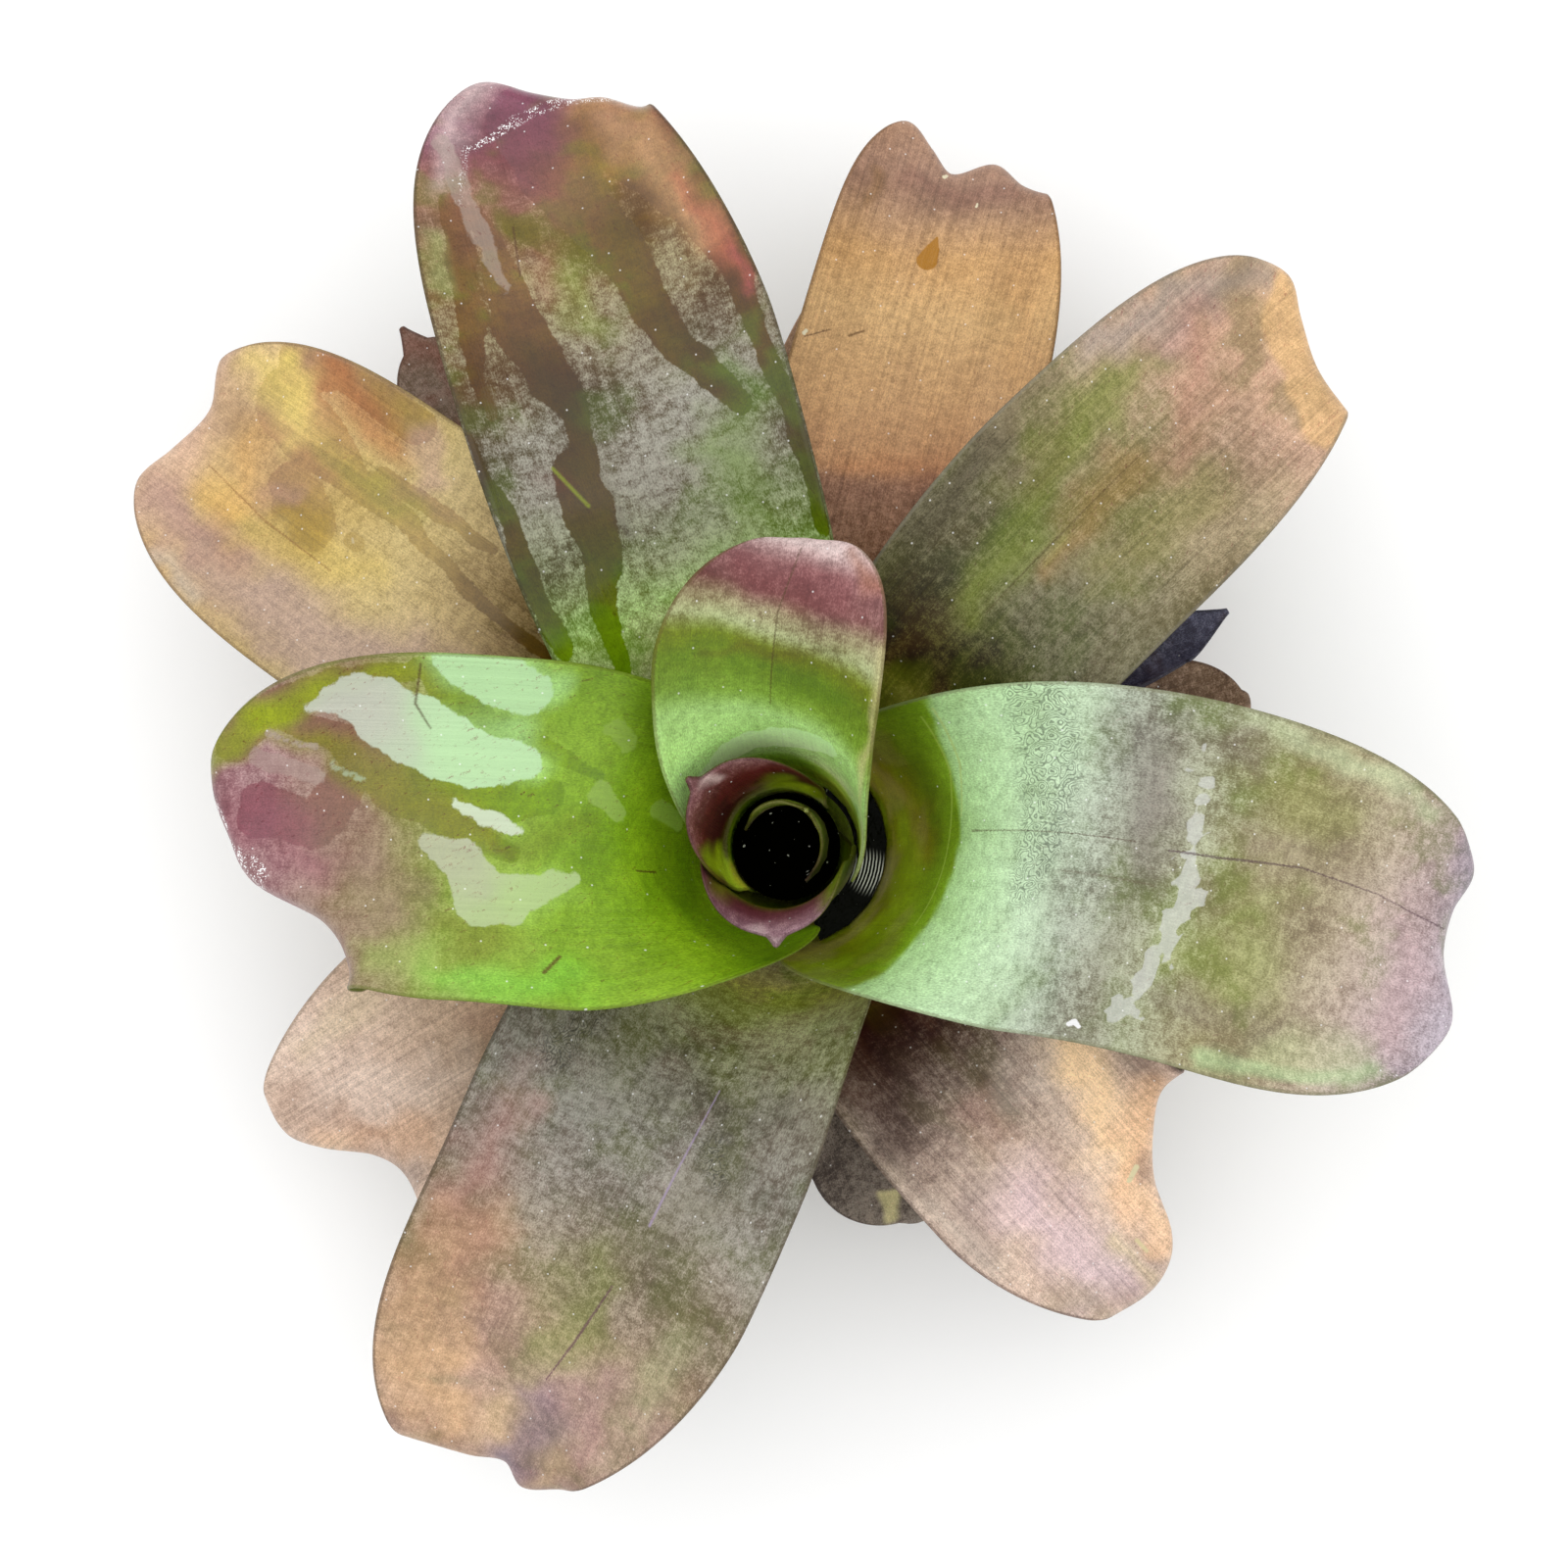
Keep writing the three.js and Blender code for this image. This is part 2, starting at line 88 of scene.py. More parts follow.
# The waves along a blade's margins, in radians from collar to tip, and the least run of a
# midrib that is taken for its heading where it climbs steeply.
WAVES = 7
LEAST_RUN = 0.3

# The samples of a midrib's curve, the step by which slopes are taken, and a blank's cells. Its
# last rows start LAST_ROWS short of the rounded end.
RIB_SAMPLES = 160
STEP = 0.25
ROWS = {"sheath": 20, "blade": 78, "tip": 46, "point": 6}
COLUMNS = 56
LAST_ROWS = 0.5

Values = np.ndarray | float
Surface = Callable[[np.ndarray, np.ndarray], np.ndarray]


class Slot(StrEnum):
    """The slots that the leaves belong to, from the heart out."""

    HEART = "heart_leaf"
    YOUNG = "young_leaf"
    GREEN = "green_leaf"
    OLIVE = "olive_leaf"
    TAN = "tan_leaf"
    WITHERED = "withered_leaf"


@dataclass(frozen=True)
class Sides:
    """A value for a leaf's left side, the one towards a greater azimuth, and for its right."""

    left: float
    right: float

    def pick(self, across: np.ndarray) -> np.ndarray:
        """The value that holds at each place across the leaf."""
        return np.where(across > 0, self.left, self.right)


@dataclass(frozen=True)
class Fold:
    """How a tip turns down: how many degrees round, how tightly, and from where.

    reach holds (way across, way past the collar) from right to left: how far the leaf goes
    before it turns.
    """

    turn: float
    radius: float
    reach: tuple[tuple[float, float], ...]


@dataclass(frozen=True)
class Leaf:
    """The sizes of one leaf in millimetres and degrees.

    order counts the leaves from the heart down. collar and tip are (radius, height) where the
    sheath and the rounded blade end. rise and droop are the midrib's angles above the
    horizontal there, and spring its angle at the foot. neck and blade are half widths at the
    collar and at the widest place, a share of the way along. wrap is the angle that the sheath
    covers, sweep how far the blade bends round, channel and tip_channel how hollow it is, opens
    the share of it that is still rolled. blunt is how square its end is, point the length of
    its apex, apex_shift how far that stands to the left, and wave how wavy the margins are.
    """

    name: str
    order: int
    azimuth: float
    collar: tuple[float, float]
    rise: float
    tip: tuple[float, float]
    droop: float
    neck: Sides
    blade: Sides
    slot: Slot
    wrap: float = 110
    sweep: float = 0
    channel: float = 26
    tip_channel: float | None = None
    opens: float = 0.3
    widest: float = 0.5
    blunt: Sides = Sides(2.4, 2.4)
    point: float = 7
    apex_shift: float = 0
    wave: float = 1.2
    spring: float | None = None
    fold: Fold | None = None


LEAVES = (
    Leaf("leaf_heart_inner", 0, 50, (13.2, 92), 90, (12.5, 110), 88, Sides(27, 27), Sides(22, 22),
         Slot.HEART, wrap=125, channel=100, point=2),
    Leaf("leaf_heart_middle", 1, 145, (17.5, 98), 90, (25.5, 146), 56, Sides(27, 32), Sides(25, 29),
         Slot.HEART, wrap=125, channel=80, point=5),
    Leaf("leaf_heart_outer", 2, 274, (21.5, 98), 90, (29, 141), 55, Sides(32, 34), Sides(25, 31),
         Slot.HEART, wrap=122, channel=80, point=6, spring=66),
    Leaf("leaf_young_back", 3, 94, (25.5, 118), 84, (86, 166), -18, Sides(36, 54), Sides(33, 38),
         Slot.YOUNG, wrap=125, sweep=-8, channel=52, tip_channel=34, opens=0.55,
         blunt=Sides(2.2, 2.2), apex_shift=-6, spring=61,
         fold=Fold(95, 7, ((-38, 93), (-19, 89), (0, 89), (19, 93), (38, 101)))),
    Leaf("leaf_left", 4, 178, (31.5, 114), 70, (168, 142), -22, Sides(60, 48), Sides(53.5, 49),
         Slot.GREEN, wrap=118, channel=30, blunt=Sides(1.6, 2.1),
         fold=Fold(100, 8, ((-30, 156), (-8, 155), (5, 149), (18, 139), (28, 115), (42, 104),
                            (54, 104)))),
    Leaf("leaf_right", 5, 3.5, (38, 106), 66, (215, 127), -20, Sides(41, 60), Sides(45.5, 62.5),
         Slot.GREEN, wrap=116, sweep=-12, channel=28, widest=0.58, blunt=Sides(2.6, 2.6),
         fold=Fold(100, 8, ((-45, 186), (-24, 194), (-5, 188), (8, 188), (20, 192), (34, 184)))),
    Leaf("leaf_back_left", 6, 108.3, (42, 98), 62, (254, 101), -24, Sides(45, 43), Sides(48, 51),
         Slot.OLIVE, wrap=114, blunt=Sides(3.2, 1.5),
         fold=Fold(95, 8, ((-32, 203), (-19, 214), (-10, 218), (0, 225), (14, 235), (28, 230),
                           (40, 222)))),
    Leaf("leaf_back_right", 7, 45, (45, 93), 60, (239, 97), -22, Sides(33, 42), Sides(42, 42.5),
         Slot.OLIVE, wrap=112, blunt=Sides(3.3, 2.2),
         fold=Fold(95, 8, ((-40, 186), (-26, 190), (-12, 195), (2, 204), (13, 211), (24, 206),
                           (40, 196)))),
    Leaf("leaf_front", 8, 242.5, (48, 89), 58, (224, 88), -20, Sides(54, 52), Sides(62, 45.5),
         Slot.OLIVE, blunt=Sides(1.55, 3.2), point=9,
         fold=Fold(85, 8, ((-40, 192), (-24, 189), (0, 184), (11, 180), (19, 185), (34, 177)))),
    Leaf("leaf_low_left", 9, 145, (51, 80), 52, (240, 78), -18, Sides(46, 47), Sides(48, 48.5),
         Slot.TAN, wrap=108, blunt=Sides(2.9, 3.1),
         fold=Fold(95, 8, ((-40, 190), (-23, 199), (-8, 193), (8, 196), (21, 199), (40, 192)))),
    Leaf("leaf_low_back", 10, 76, (54, 76), 52, (237.5, 70), -20, Sides(40, 42), Sides(33.5, 46),
         Slot.TAN, wrap=106, channel=24, blunt=Sides(6, 2),
         fold=Fold(95, 8, ((-30, 180), (-20, 182), (-10, 188), (2, 181), (10, 188), (18, 195),
                           (30, 194)))),
    Leaf("leaf_low_right", 11, 312, (56.5, 72), 48, (189.5, 67), -18, Sides(45, 45), Sides(44, 46),
         Slot.TAN, wrap=104, channel=24, blunt=Sides(2.4, 1.65),
         fold=Fold(95, 8, ((-30, 131), (-10, 135), (1, 132), (8, 124), (14, 108), (24, 94), (34, 85),
                           (46, 84)))),
    Leaf("leaf_low_front", 12, 209.5, (59, 68), 46, (194.5, 59.5), -18, Sides(40, 39), Sides(42, 39),
         Slot.TAN, wrap=102, channel=24, blunt=Sides(2.4, 1.25),
         fold=Fold(95, 8, ((-30, 132), (-14, 138), (-1, 138), (8, 129), (18, 113), (28, 105),
                           (44, 103)))),
    Leaf("leaf_under_back", 13, 79.5, (60, 63), 42, (212, 42), -18, Sides(36, 36), Sides(33, 34),
         Slot.WITHERED, wrap=98, channel=22, blunt=Sides(1.5, 1.9),
         fold=Fold(80, 8, ((-34, 183), (-17, 171), (0, 167), (17, 171), (34, 183)))),
    Leaf("leaf_withered_left", 14, 127, (61, 58), 38, (204, 48), -8, Sides(30, 30), Sides(25, 25),
         Slot.WITHERED, wrap=92, channel=46, blunt=Sides(2.2, 2.2)),
    Leaf("leaf_withered_front", 15, 288, (60, 53), 36, (126, 42), -14, Sides(28, 28), Sides(28, 28),
         Slot.WITHERED, wrap=88, channel=30,
         fold=Fold(80, 6, ((-28, 79), (-14, 73), (0, 73), (14, 78), (28, 90)))),
    Leaf("leaf_withered_curl", 16, 29, (58, 51), 36, (152, 50), 2, Sides(20, 20), Sides(15, 15),
         Slot.WITHERED, wrap=84, channel=110, blunt=Sides(2, 2)),
    Leaf("leaf_withered_right", 17, 18, (56, 38), 26, (156, 28), -12, Sides(26, 26), Sides(25, 25),
         Slot.WITHERED, wrap=80, channel=24,
         fold=Fold(80, 6, ((-25, 113), (-12, 106), (0, 106), (12, 111), (25, 123)))),
)


def smooth(x: Values) -> Values:
    """A step from 0 to 1 with flat ends."""
    held = np.clip(x, 0, 1)
    return held * held * (3 - 2 * held)


def smooth_slope(x: Values) -> Values:
    """How steeply that step rises between 0 and 1."""
    return 6 * x * (1 - x)


def mixed(a: Values, b: Values, share: Values) -> Values:
    """The value that lies a share of the way from a to b."""
    return a + (b - a) * share


def straight_through(stops: tuple, x: np.ndarray) -> np.ndarray:
    """The values at x of straight lines between (x, value) stops, level beyond them."""
    places, values = np.array(stops, dtype=float).T
    return np.interp(x, places, values)


def curve_through(stops: tuple, x: np.ndarray) -> np.ndarray:
    """A smooth curve through stops, level beyond them.

    Args:
        stops: (x, value) pairs, in the order of x.
        x: the places that are asked for.

    Returns:
        The curve's values there.
    """
    places, values = np.array(stops, dtype=float).T
    slopes = np.zeros_like(values)
    slopes[1:-1] = (values[2:] - values[:-2]) / (places[2:] - places[:-2])
    held = np.clip(x, places[0], places[-1])
    i = np.clip(np.searchsorted(places, held, side="right"), 1, len(places) - 1)
    width = places[i] - places[i - 1]
    u = (held - places[i - 1]) / width
    rounded = mixed(values[i - 1], values[i], smooth(u))
    return rounded + width * u * (1 - u) * (slopes[i - 1] * (1 - u) - slopes[i] * u)


def stem_radius(height: float) -> float:
    """The stem's radius at a height, which the leaves' feet follow."""
    share = np.clip((height - STEM_TAPER_START) / (STEM_HEIGHT - STEM_TAPER_START), 0, 1)
    return float(mixed(STEM_FOOT, STEM_TOP, share))


def leaned(points: np.ndarray) -> np.ndarray:
    """The points' places once the plant leans."""
    lift = np.maximum(0, points[..., 2] - LEAN_START)
    return points + np.stack([LEAN[0] * lift, LEAN[1] * lift, np.zeros_like(lift)], axis=-1)


def heading_at(degrees: float) -> np.ndarray:
    """The unit (run, climb) of a way that rises at an angle."""
    return np.array([math.cos(math.radians(degrees)), math.sin(math.radians(degrees))])


class Midrib:
    """A leaf's midrib by arc length: its sheath from the foot to the collar, then its blade."""

    def __init__(self, leaf: Leaf) -> None:
        """Lays the two curves of a leaf's midrib and measures them.

        Args:
            leaf: the leaf's sizes.
        """
        foot_height = FOOT_TOP - FOOT_STEP * leaf.order
        self.foot = stem_radius(foot_height) + FOOT_GAP + RIB_THICKNESS / 2
        run, climb = leaf.collar[0] - self.foot, leaf.collar[1] - foot_height
        steepest = math.degrees(math.acos(min(1, SHEATH_SPREAD * run / math.hypot(run, climb))))
        spring = leaf.spring or max(FOOT_SLOPE, steepest)
        sheath = self._arc((self.foot, foot_height), spring, leaf.collar, leaf.rise, SHEATH_REACH)
        blade = self._arc(leaf.collar, leaf.rise, leaf.tip, leaf.droop, BLADE_REACH)
        self.points = np.concatenate([sheath[:-1], blade])
        steps = np.diff(self.points, axis=0)
        lengths = np.hypot(steps[:, 0], steps[:, 1])
        self.way = np.concatenate([[0], np.cumsum(lengths)])
        self.slopes = np.unwrap(np.arctan2(steps[:, 1], steps[:, 0]))
        self.middles = (self.way[1:] + self.way[:-1]) / 2
        self.collar = float(self.way[RIB_SAMPLES])
        self.rounded = float(self.way[-1])
        self.start = steps[0] / lengths[0]
        self.end = steps[-1] / lengths[-1]

    @staticmethod
    def _arc(start: tuple, start_slope: float, end: tuple, end_slope: float,
             reach: float) -> np.ndarray:
        """Samples a cubic curve.

        Args:
            start: (radius, height) where it starts.
            start_slope: its angle above the horizontal there, in degrees.
            end: (radius, height) where it ends.
            end_slope: its angle there.
            reach: how far it follows these angles, as a share of the way between its ends.

        Returns:
            Its samples, one more than RIB_SAMPLES.
        """
        way = reach * math.dist(start, end)
        a, d = np.array(start), np.array(end)
        b, c = a + heading_at(start_slope) * way, d - heading_at(end_slope) * way
        t = np.linspace(0, 1, RIB_SAMPLES + 1)[:, None]
        return (1 - t) ** 3 * a + 3 * (1 - t) ** 2 * t * b + 3 * (1 - t) * t**2 * c + t**3 * d

    def at(self, s: np.ndarray) -> tuple[np.ndarray, np.ndarray, np.ndarray]:
        """Follows the midrib, and goes on straight past both ends.

        Args:
            s: arc lengths from the foot.

        Returns:
            The radius, the height and the slope in radians at each.
        """
        past = np.maximum(0, s - self.rounded)
        short = np.minimum(0, s)
        radius = np.interp(s, self.way, self.points[:, 0]) + self.end[0] * past + self.start[0] * short
        height = np.interp(s, self.way, self.points[:, 1]) + self.end[1] * past + self.start[1] * short
        return radius, height, np.interp(s, self.middles, self.slopes)


class LeafForm:
    """The leaf's middle surface, by the way s along it and the way t across it."""

    def __init__(self, leaf: Leaf) -> None:
        """Works out the lengths and the greatest half width of a leaf.

        Args:
            leaf: the leaf's sizes.
        """
        self.leaf = leaf
        self.rib = Midrib(leaf)
        self.total = self.rib.rounded + leaf.point
        self.length = self.rib.rounded - self.rib.collar
        self.broadest = max(leaf.blade.left, leaf.blade.right)

    def blade_part(self, s: np.ndarray) -> np.ndarray:
        """The share of the blade that lies before the arc length."""
        return np.clip((s - self.rib.collar) / self.length, 0, 1)

    def half_width(self, s: np.ndarray, v: np.ndarray) -> np.ndarray:
        """Measures the leaf from its middle to a margin.

        Args:
            s: the way along it.
            v: a place across it, whose sign says which margin.

        Returns:
            The half width at each place: of the sheath, the widening blade or its rounded end.
        """
        leaf, rib = self.leaf, self.rib
        neck, blade, blunt = leaf.neck.pick(v), leaf.blade.pick(v), leaf.blunt.pick(v)
        f = self.blade_part(s)
        sheath = mixed(rib.foot * math.radians(leaf.wrap), neck, smooth(s / rib.collar))
        widening = mixed(neck, blade, smooth(f / leaf.widest))
        narrowing = np.clip((f - leaf.widest) / (1 - leaf.widest), 0, 1)
        rounded = blade * np.sqrt(1 - narrowing**blunt)
        left = np.maximum(0, self.total - s)
        pointed = np.maximum(rounded, POINT_HALF_WIDTH + POINT_TAPER * left**POINT_POWER)
        ending = np.where(left > POINT_REACH * leaf.point, rounded, pointed)
        return np.where(s < rib.collar, sheath, np.where(f < leaf.widest, widening, ending))

    def flat(self, s: np.ndarray, t: np.ndarray) -> np.ndarray:
        """Places the leaf before its tip is folded: wrapped round the stem, then a hollow blade.

        Args:
            s: the way along the leaf.
            t: the way across it.

        Returns:
            The place of each point.
        """
        leaf, rib = self.leaf, self.rib
        r, z, slope = rib.at(s)
        f = self.blade_part(s)
        sweep = math.radians(leaf.sweep)
        turn = math.radians(leaf.azimuth) + sweep * smooth(f)
        free = smooth(f / FREED)
        turning = sweep * smooth_slope(f) / self.length
        heading = turn + free * np.arctan2(r * turning, np.maximum(LEAST_RUN, np.cos(slope)))
        round_ = turn + t / r
        wrapped = np.stack([r * np.cos(round_), r * np.sin(round_), z], axis=-1)
        tangent = np.stack([np.cos(slope) * np.cos(heading), np.cos(slope) * np.sin(heading),
                            np.sin(slope)], axis=-1)
        side = np.stack([-np.sin(heading), np.cos(heading), np.zeros_like(heading)], axis=-1)
        up = np.cross(tangent, side)
        tip_channel = leaf.channel if leaf.tip_channel is None else leaf.tip_channel
        channel = np.radians(mixed(leaf.channel, tip_channel, smooth(f))) / self.broadest
        collar_radius = rib.at(np.array(rib.collar))[0]
        curl = mixed(1 / collar_radius, channel, smooth(f / leaf.opens))
        wave = leaf.wave * (t / self.broadest) ** 2 * np.sin(WAVES * f + leaf.azimuth)
        middle = np.stack([r * np.cos(turn), r * np.sin(turn), z], axis=-1)
        rise = (1 - np.cos(t * curl)) / curl + free * wave
        blade = middle + side * (np.sin(t * curl) / curl)[..., None] + up * rise[..., None]
        return leaned(mixed(wrapped, blade, free[..., None]))

    @staticmethod
    def normal(surface: Surface, s: np.ndarray, t: np.ndarray) -> np.ndarray:
        """Measures which way a surface faces.

        Args:
            surface: gives the places for a way along and a way across.
            s: the way along.
            t: the way across.

        Returns:
            Its unit normal at each place, on the side that faces the heart.
        """
        along = surface(s + STEP, t) - surface(s - STEP, t)
        across = surface(s, t + STEP) - surface(s, t - STEP)
        normal = np.cross(along, across)
        return normal / np.linalg.norm(normal, axis=-1, keepdims=True)

    def folded(self, s: np.ndarray, t: np.ndarray) -> np.ndarray:
        """Places the leaf, with its tip turned down.

        Args:
            s: the way along the leaf.
            t: the way across it.

        Returns:
            The place of each point.
        """
        fold = self.leaf.fold
        if fold is None:
            return self.flat(s, t)
        start = self.rib.collar + curve_through(fold.reach, t) - fold.radius
        past = np.maximum(0, s - start)
        turn = math.radians(fold.turn)
        angle = np.minimum(past / fold.radius, turn)
        rest = np.maximum(0, past - fold.radius * turn)
        forward = start + fold.radius * np.sin(angle) + rest * np.cos(angle)
        forward = np.where(past > 0, forward, s)
        down = fold.radius * (1 - np.cos(angle)) + rest * np.sin(angle)
        return self.flat(forward, t) - down[..., None] * self.normal(self.flat, forward, t)

    def across(self, s: np.ndarray, v: np.ndarray, spare: Values = 0) -> np.ndarray:
        """The way across the leaf, in millimetres, for a share v of its half width and a spare."""
        shift = self.leaf.apex_shift * smooth((self.blade_part(s) - 1 + APEX_ZONE) / APEX_ZONE)
        return shift + v * (self.half_width(s, v) + spare)

    def rows(self) -> np.ndarray:
        """Spaces the blank's rows, closer where the tip turns down.

        Returns:
            Their arc lengths.
        """
        rib = self.rib
        tip_start = rib.rounded - TIP_ZONE * self.length
        almost = rib.rounded - LAST_ROWS
        turned = np.sin(np.linspace(0, math.pi / 2, ROWS["tip"], endpoint=False))
        even = np.linspace(0, 1, ROWS["tip"], endpoint=False)
        return np.concatenate([
            np.linspace(0, rib.collar, ROWS["sheath"], endpoint=False),
            np.linspace(rib.collar, tip_start, ROWS["blade"], endpoint=False),
            mixed(tip_start, almost, (turned + even) / 2),
            np.linspace(almost, self.total, ROWS["point"]),
        ])


# What the studio's reflections add to a leaf's colour, and how much light falls on it.
SHEEN = 0.028
GAIN = 1.28

# The darkest and the lightest a pigment gets.
DARKEST = 0.003
LIGHTEST = 0.92

# A distance in millimetres that counts as nowhere near, and a number next to nothing.
FAR = 99.0
TINY = 1e-9

# The underside's colours by the sheath and at its foot.
PALE_SHEATH = "C8BF98"
BROWN_FOOT = "8F7A54"

# The cells a side of the lattice that noise is drawn on, and where on it a leaf's collar lies.
LATTICE = 97
LATTICE_START = 40

# How much finer and weaker each layer of a leaf's clouds is than the first.
CLOUD_LAYERS = ((1, 1.0), (2.1, 0.6), (4.3, 0.4))

Trail = tuple[tuple[float, float, float], ...]
Stops = tuple[tuple, ...]


class Draw(IntEnum):
    """Where a leaf's noises take their seeds, counted from the leaf's own first seed."""

    DRIFT = 0
    PATCH = 4
    BLOTCH = 8
    WANDER_ALONG = 12
    WANDER_ACROSS = 13
    RAGGED = 14
    A_LEAF = 20


@dataclass(frozen=True)
class Tint:
    """A patch of another colour on a leaf: a stain, line, drop, painted sheen or painted glint.

    trail holds the places (along, across, half width) in millimetres that it runs through,
    soft is how far its edge fades, strength how much of the colour it hides, and gloss how
    wet it looks.
    """

    colour: str
    trail: Trail
    soft: float = 6
    strength: float = 0.8
    gloss: float = 0


@dataclass(frozen=True)
class Skin:
    """How one leaf is coloured, in millimetres past its collar.

    flesh holds (along, colour) and veil, the dry bloom over it, (along, colour, cover), and
    crumbs (along, how crumbly the bloom is). On the young leaf, on leaf_right and towards the tips
    of the heart leaves the veil is partly a painted sheen, pale reflections of the light painted
    into its colour. tints are soft patches, a few of them painted sheen, lines fine ones, a few of
    them painted glints, wet trails clear the bloom, dry ones lie on it with a crisp edge, on the
    young leaf partly a painted reflection, drops stand on the leaf, glints are painted highlights
    and grazed trails are scratched. tilt is how much the bands of colour lean across the leaf,
    drift how far they wander. mottle is how blotched the flesh is with the blush and clouds how
    much with the fresh colour, patchy how uneven the bloom is, run how much such clouds are
    stretched across the leaf or, below 1, along it, grain how strong the fibres are and specks how
    many dark specks there are. lit holds (along, the share of the studio's light that gets there
    past the other leaves).
    """

    flesh: Stops
    bloom_and_sheen: Stops
    under: str
    crumbs: Stops = ((0, 0.7), (1, 0.7))
    tints: tuple[Tint, ...] = ()
    lines: tuple[Tint, ...] = ()
    wet: tuple[Trail, ...] = ()
    dry: tuple[Tint, ...] = ()
    drops: tuple[Tint, ...] = ()
    glints: tuple[Trail, ...] = ()
    grazed: tuple[Trail, ...] = ()
    tilt: float = 0
    drift: float = 14
    mottle: float = 0.35
    blush: str = "8A6F6C"
    clouds: float = 0.0
    fresh: str = "5E7A1C"
    patchy: float = 0.2
    run: float = 1.2
    grain: float = 0.14
    specks: float = 0.5
    rim: str = "6A5A2C"
    roughness: float = 0.42
    lit: Stops = ((-30, 0.3), (0, 0.5), (30, 0.85), (50, 1))


def colour(code: str) -> tuple[float, float, float, float]:
    """A colour written as six hex digits, as the renderer's linear values."""
    shares = [int(code[i:i + 2], 16) / 255 for i in (0, 2, 4)]
    linear = [c / 12.92 if c <= 0.04045 else ((c + 0.055) / 1.055) ** 2.4 for c in shares]
    return (*linear, 1.0)


def pigment(code: str) -> tuple[float, float, float, float]:
    """The colour of a leaf that looks like the six hex digits under the studio's light."""
    return (*(max(DARKEST, (share - SHEEN) / GAIN) for share in colour(code)[:3]), 1.0)


def pigments(looks: np.ndarray, lit: np.ndarray) -> np.ndarray:
    """The colours of places that look like the given ones where a share of the light comes."""
    return np.clip((looks / lit[:, None] - SHEEN) / GAIN, DARKEST, LIGHTEST)


def lumps(s: np.ndarray, t: np.ndarray, size: float, seed: int) -> np.ndarray:
    """Draws smooth noise on a leaf, its lattice turned with the seed.

    Args:
        s: the way along the leaf.
        t: the way across it.
        size: how far apart the lumps are.
        seed: which noise it is.

    Returns:
        A value from -1 to 1 at each place.
    """
    lattice = np.random.default_rng(seed).uniform(-1, 1, (LATTICE, LATTICE))
    along, across = math.cos(0.5 + seed), math.sin(0.5 + seed)
    x = (s * along + t * across) / size + LATTICE_START
    y = (t * along - s * across) / size + LATTICE_START
    i, j = np.floor(x).astype(int), np.floor(y).astype(int)
    u, v = smooth(x - i), smooth(y - j)
    i, j, right, up = i % LATTICE, j % LATTICE, (i + 1) % LATTICE, (j + 1) % LATTICE
    low = mixed(lattice[i, j], lattice[right, j], u)
    high = mixed(lattice[i, up], lattice[right, up], u)
    return mixed(low, high, v)


def gap_to(trail: Trail, s: np.ndarray, t: np.ndarray) -> np.ndarray:
    """Measures the way to a trail.

    Args:
        trail: its places, with half widths.
        s: the way along the leaf.
        t: the way across it.

    Returns:
        How far each place lies outside the trail, in millimetres; below 0 inside it.
    """
    nearest = np.full(s.shape, FAR)
    for (s0, t0, r0), (s1, t1, r1) in zip(trail, trail[1:] or trail):
        square = max((s1 - s0) ** 2 + (t1 - t0) ** 2, TINY)
        part = np.clip(((s - s0) * (s1 - s0) + (t - t0) * (t1 - t0)) / square, 0, 1)
        away = np.hypot(s - mixed(s0, s1, part), t - mixed(t0, t1, part))
        nearest = np.minimum(nearest, away - mixed(r0, r1, part))
    return nearest


def blended(a: np.ndarray, b: np.ndarray, share: np.ndarray) -> np.ndarray:
    """Rows of colours mixed by a share for each row."""
    return mixed(a, b, share[:, None])


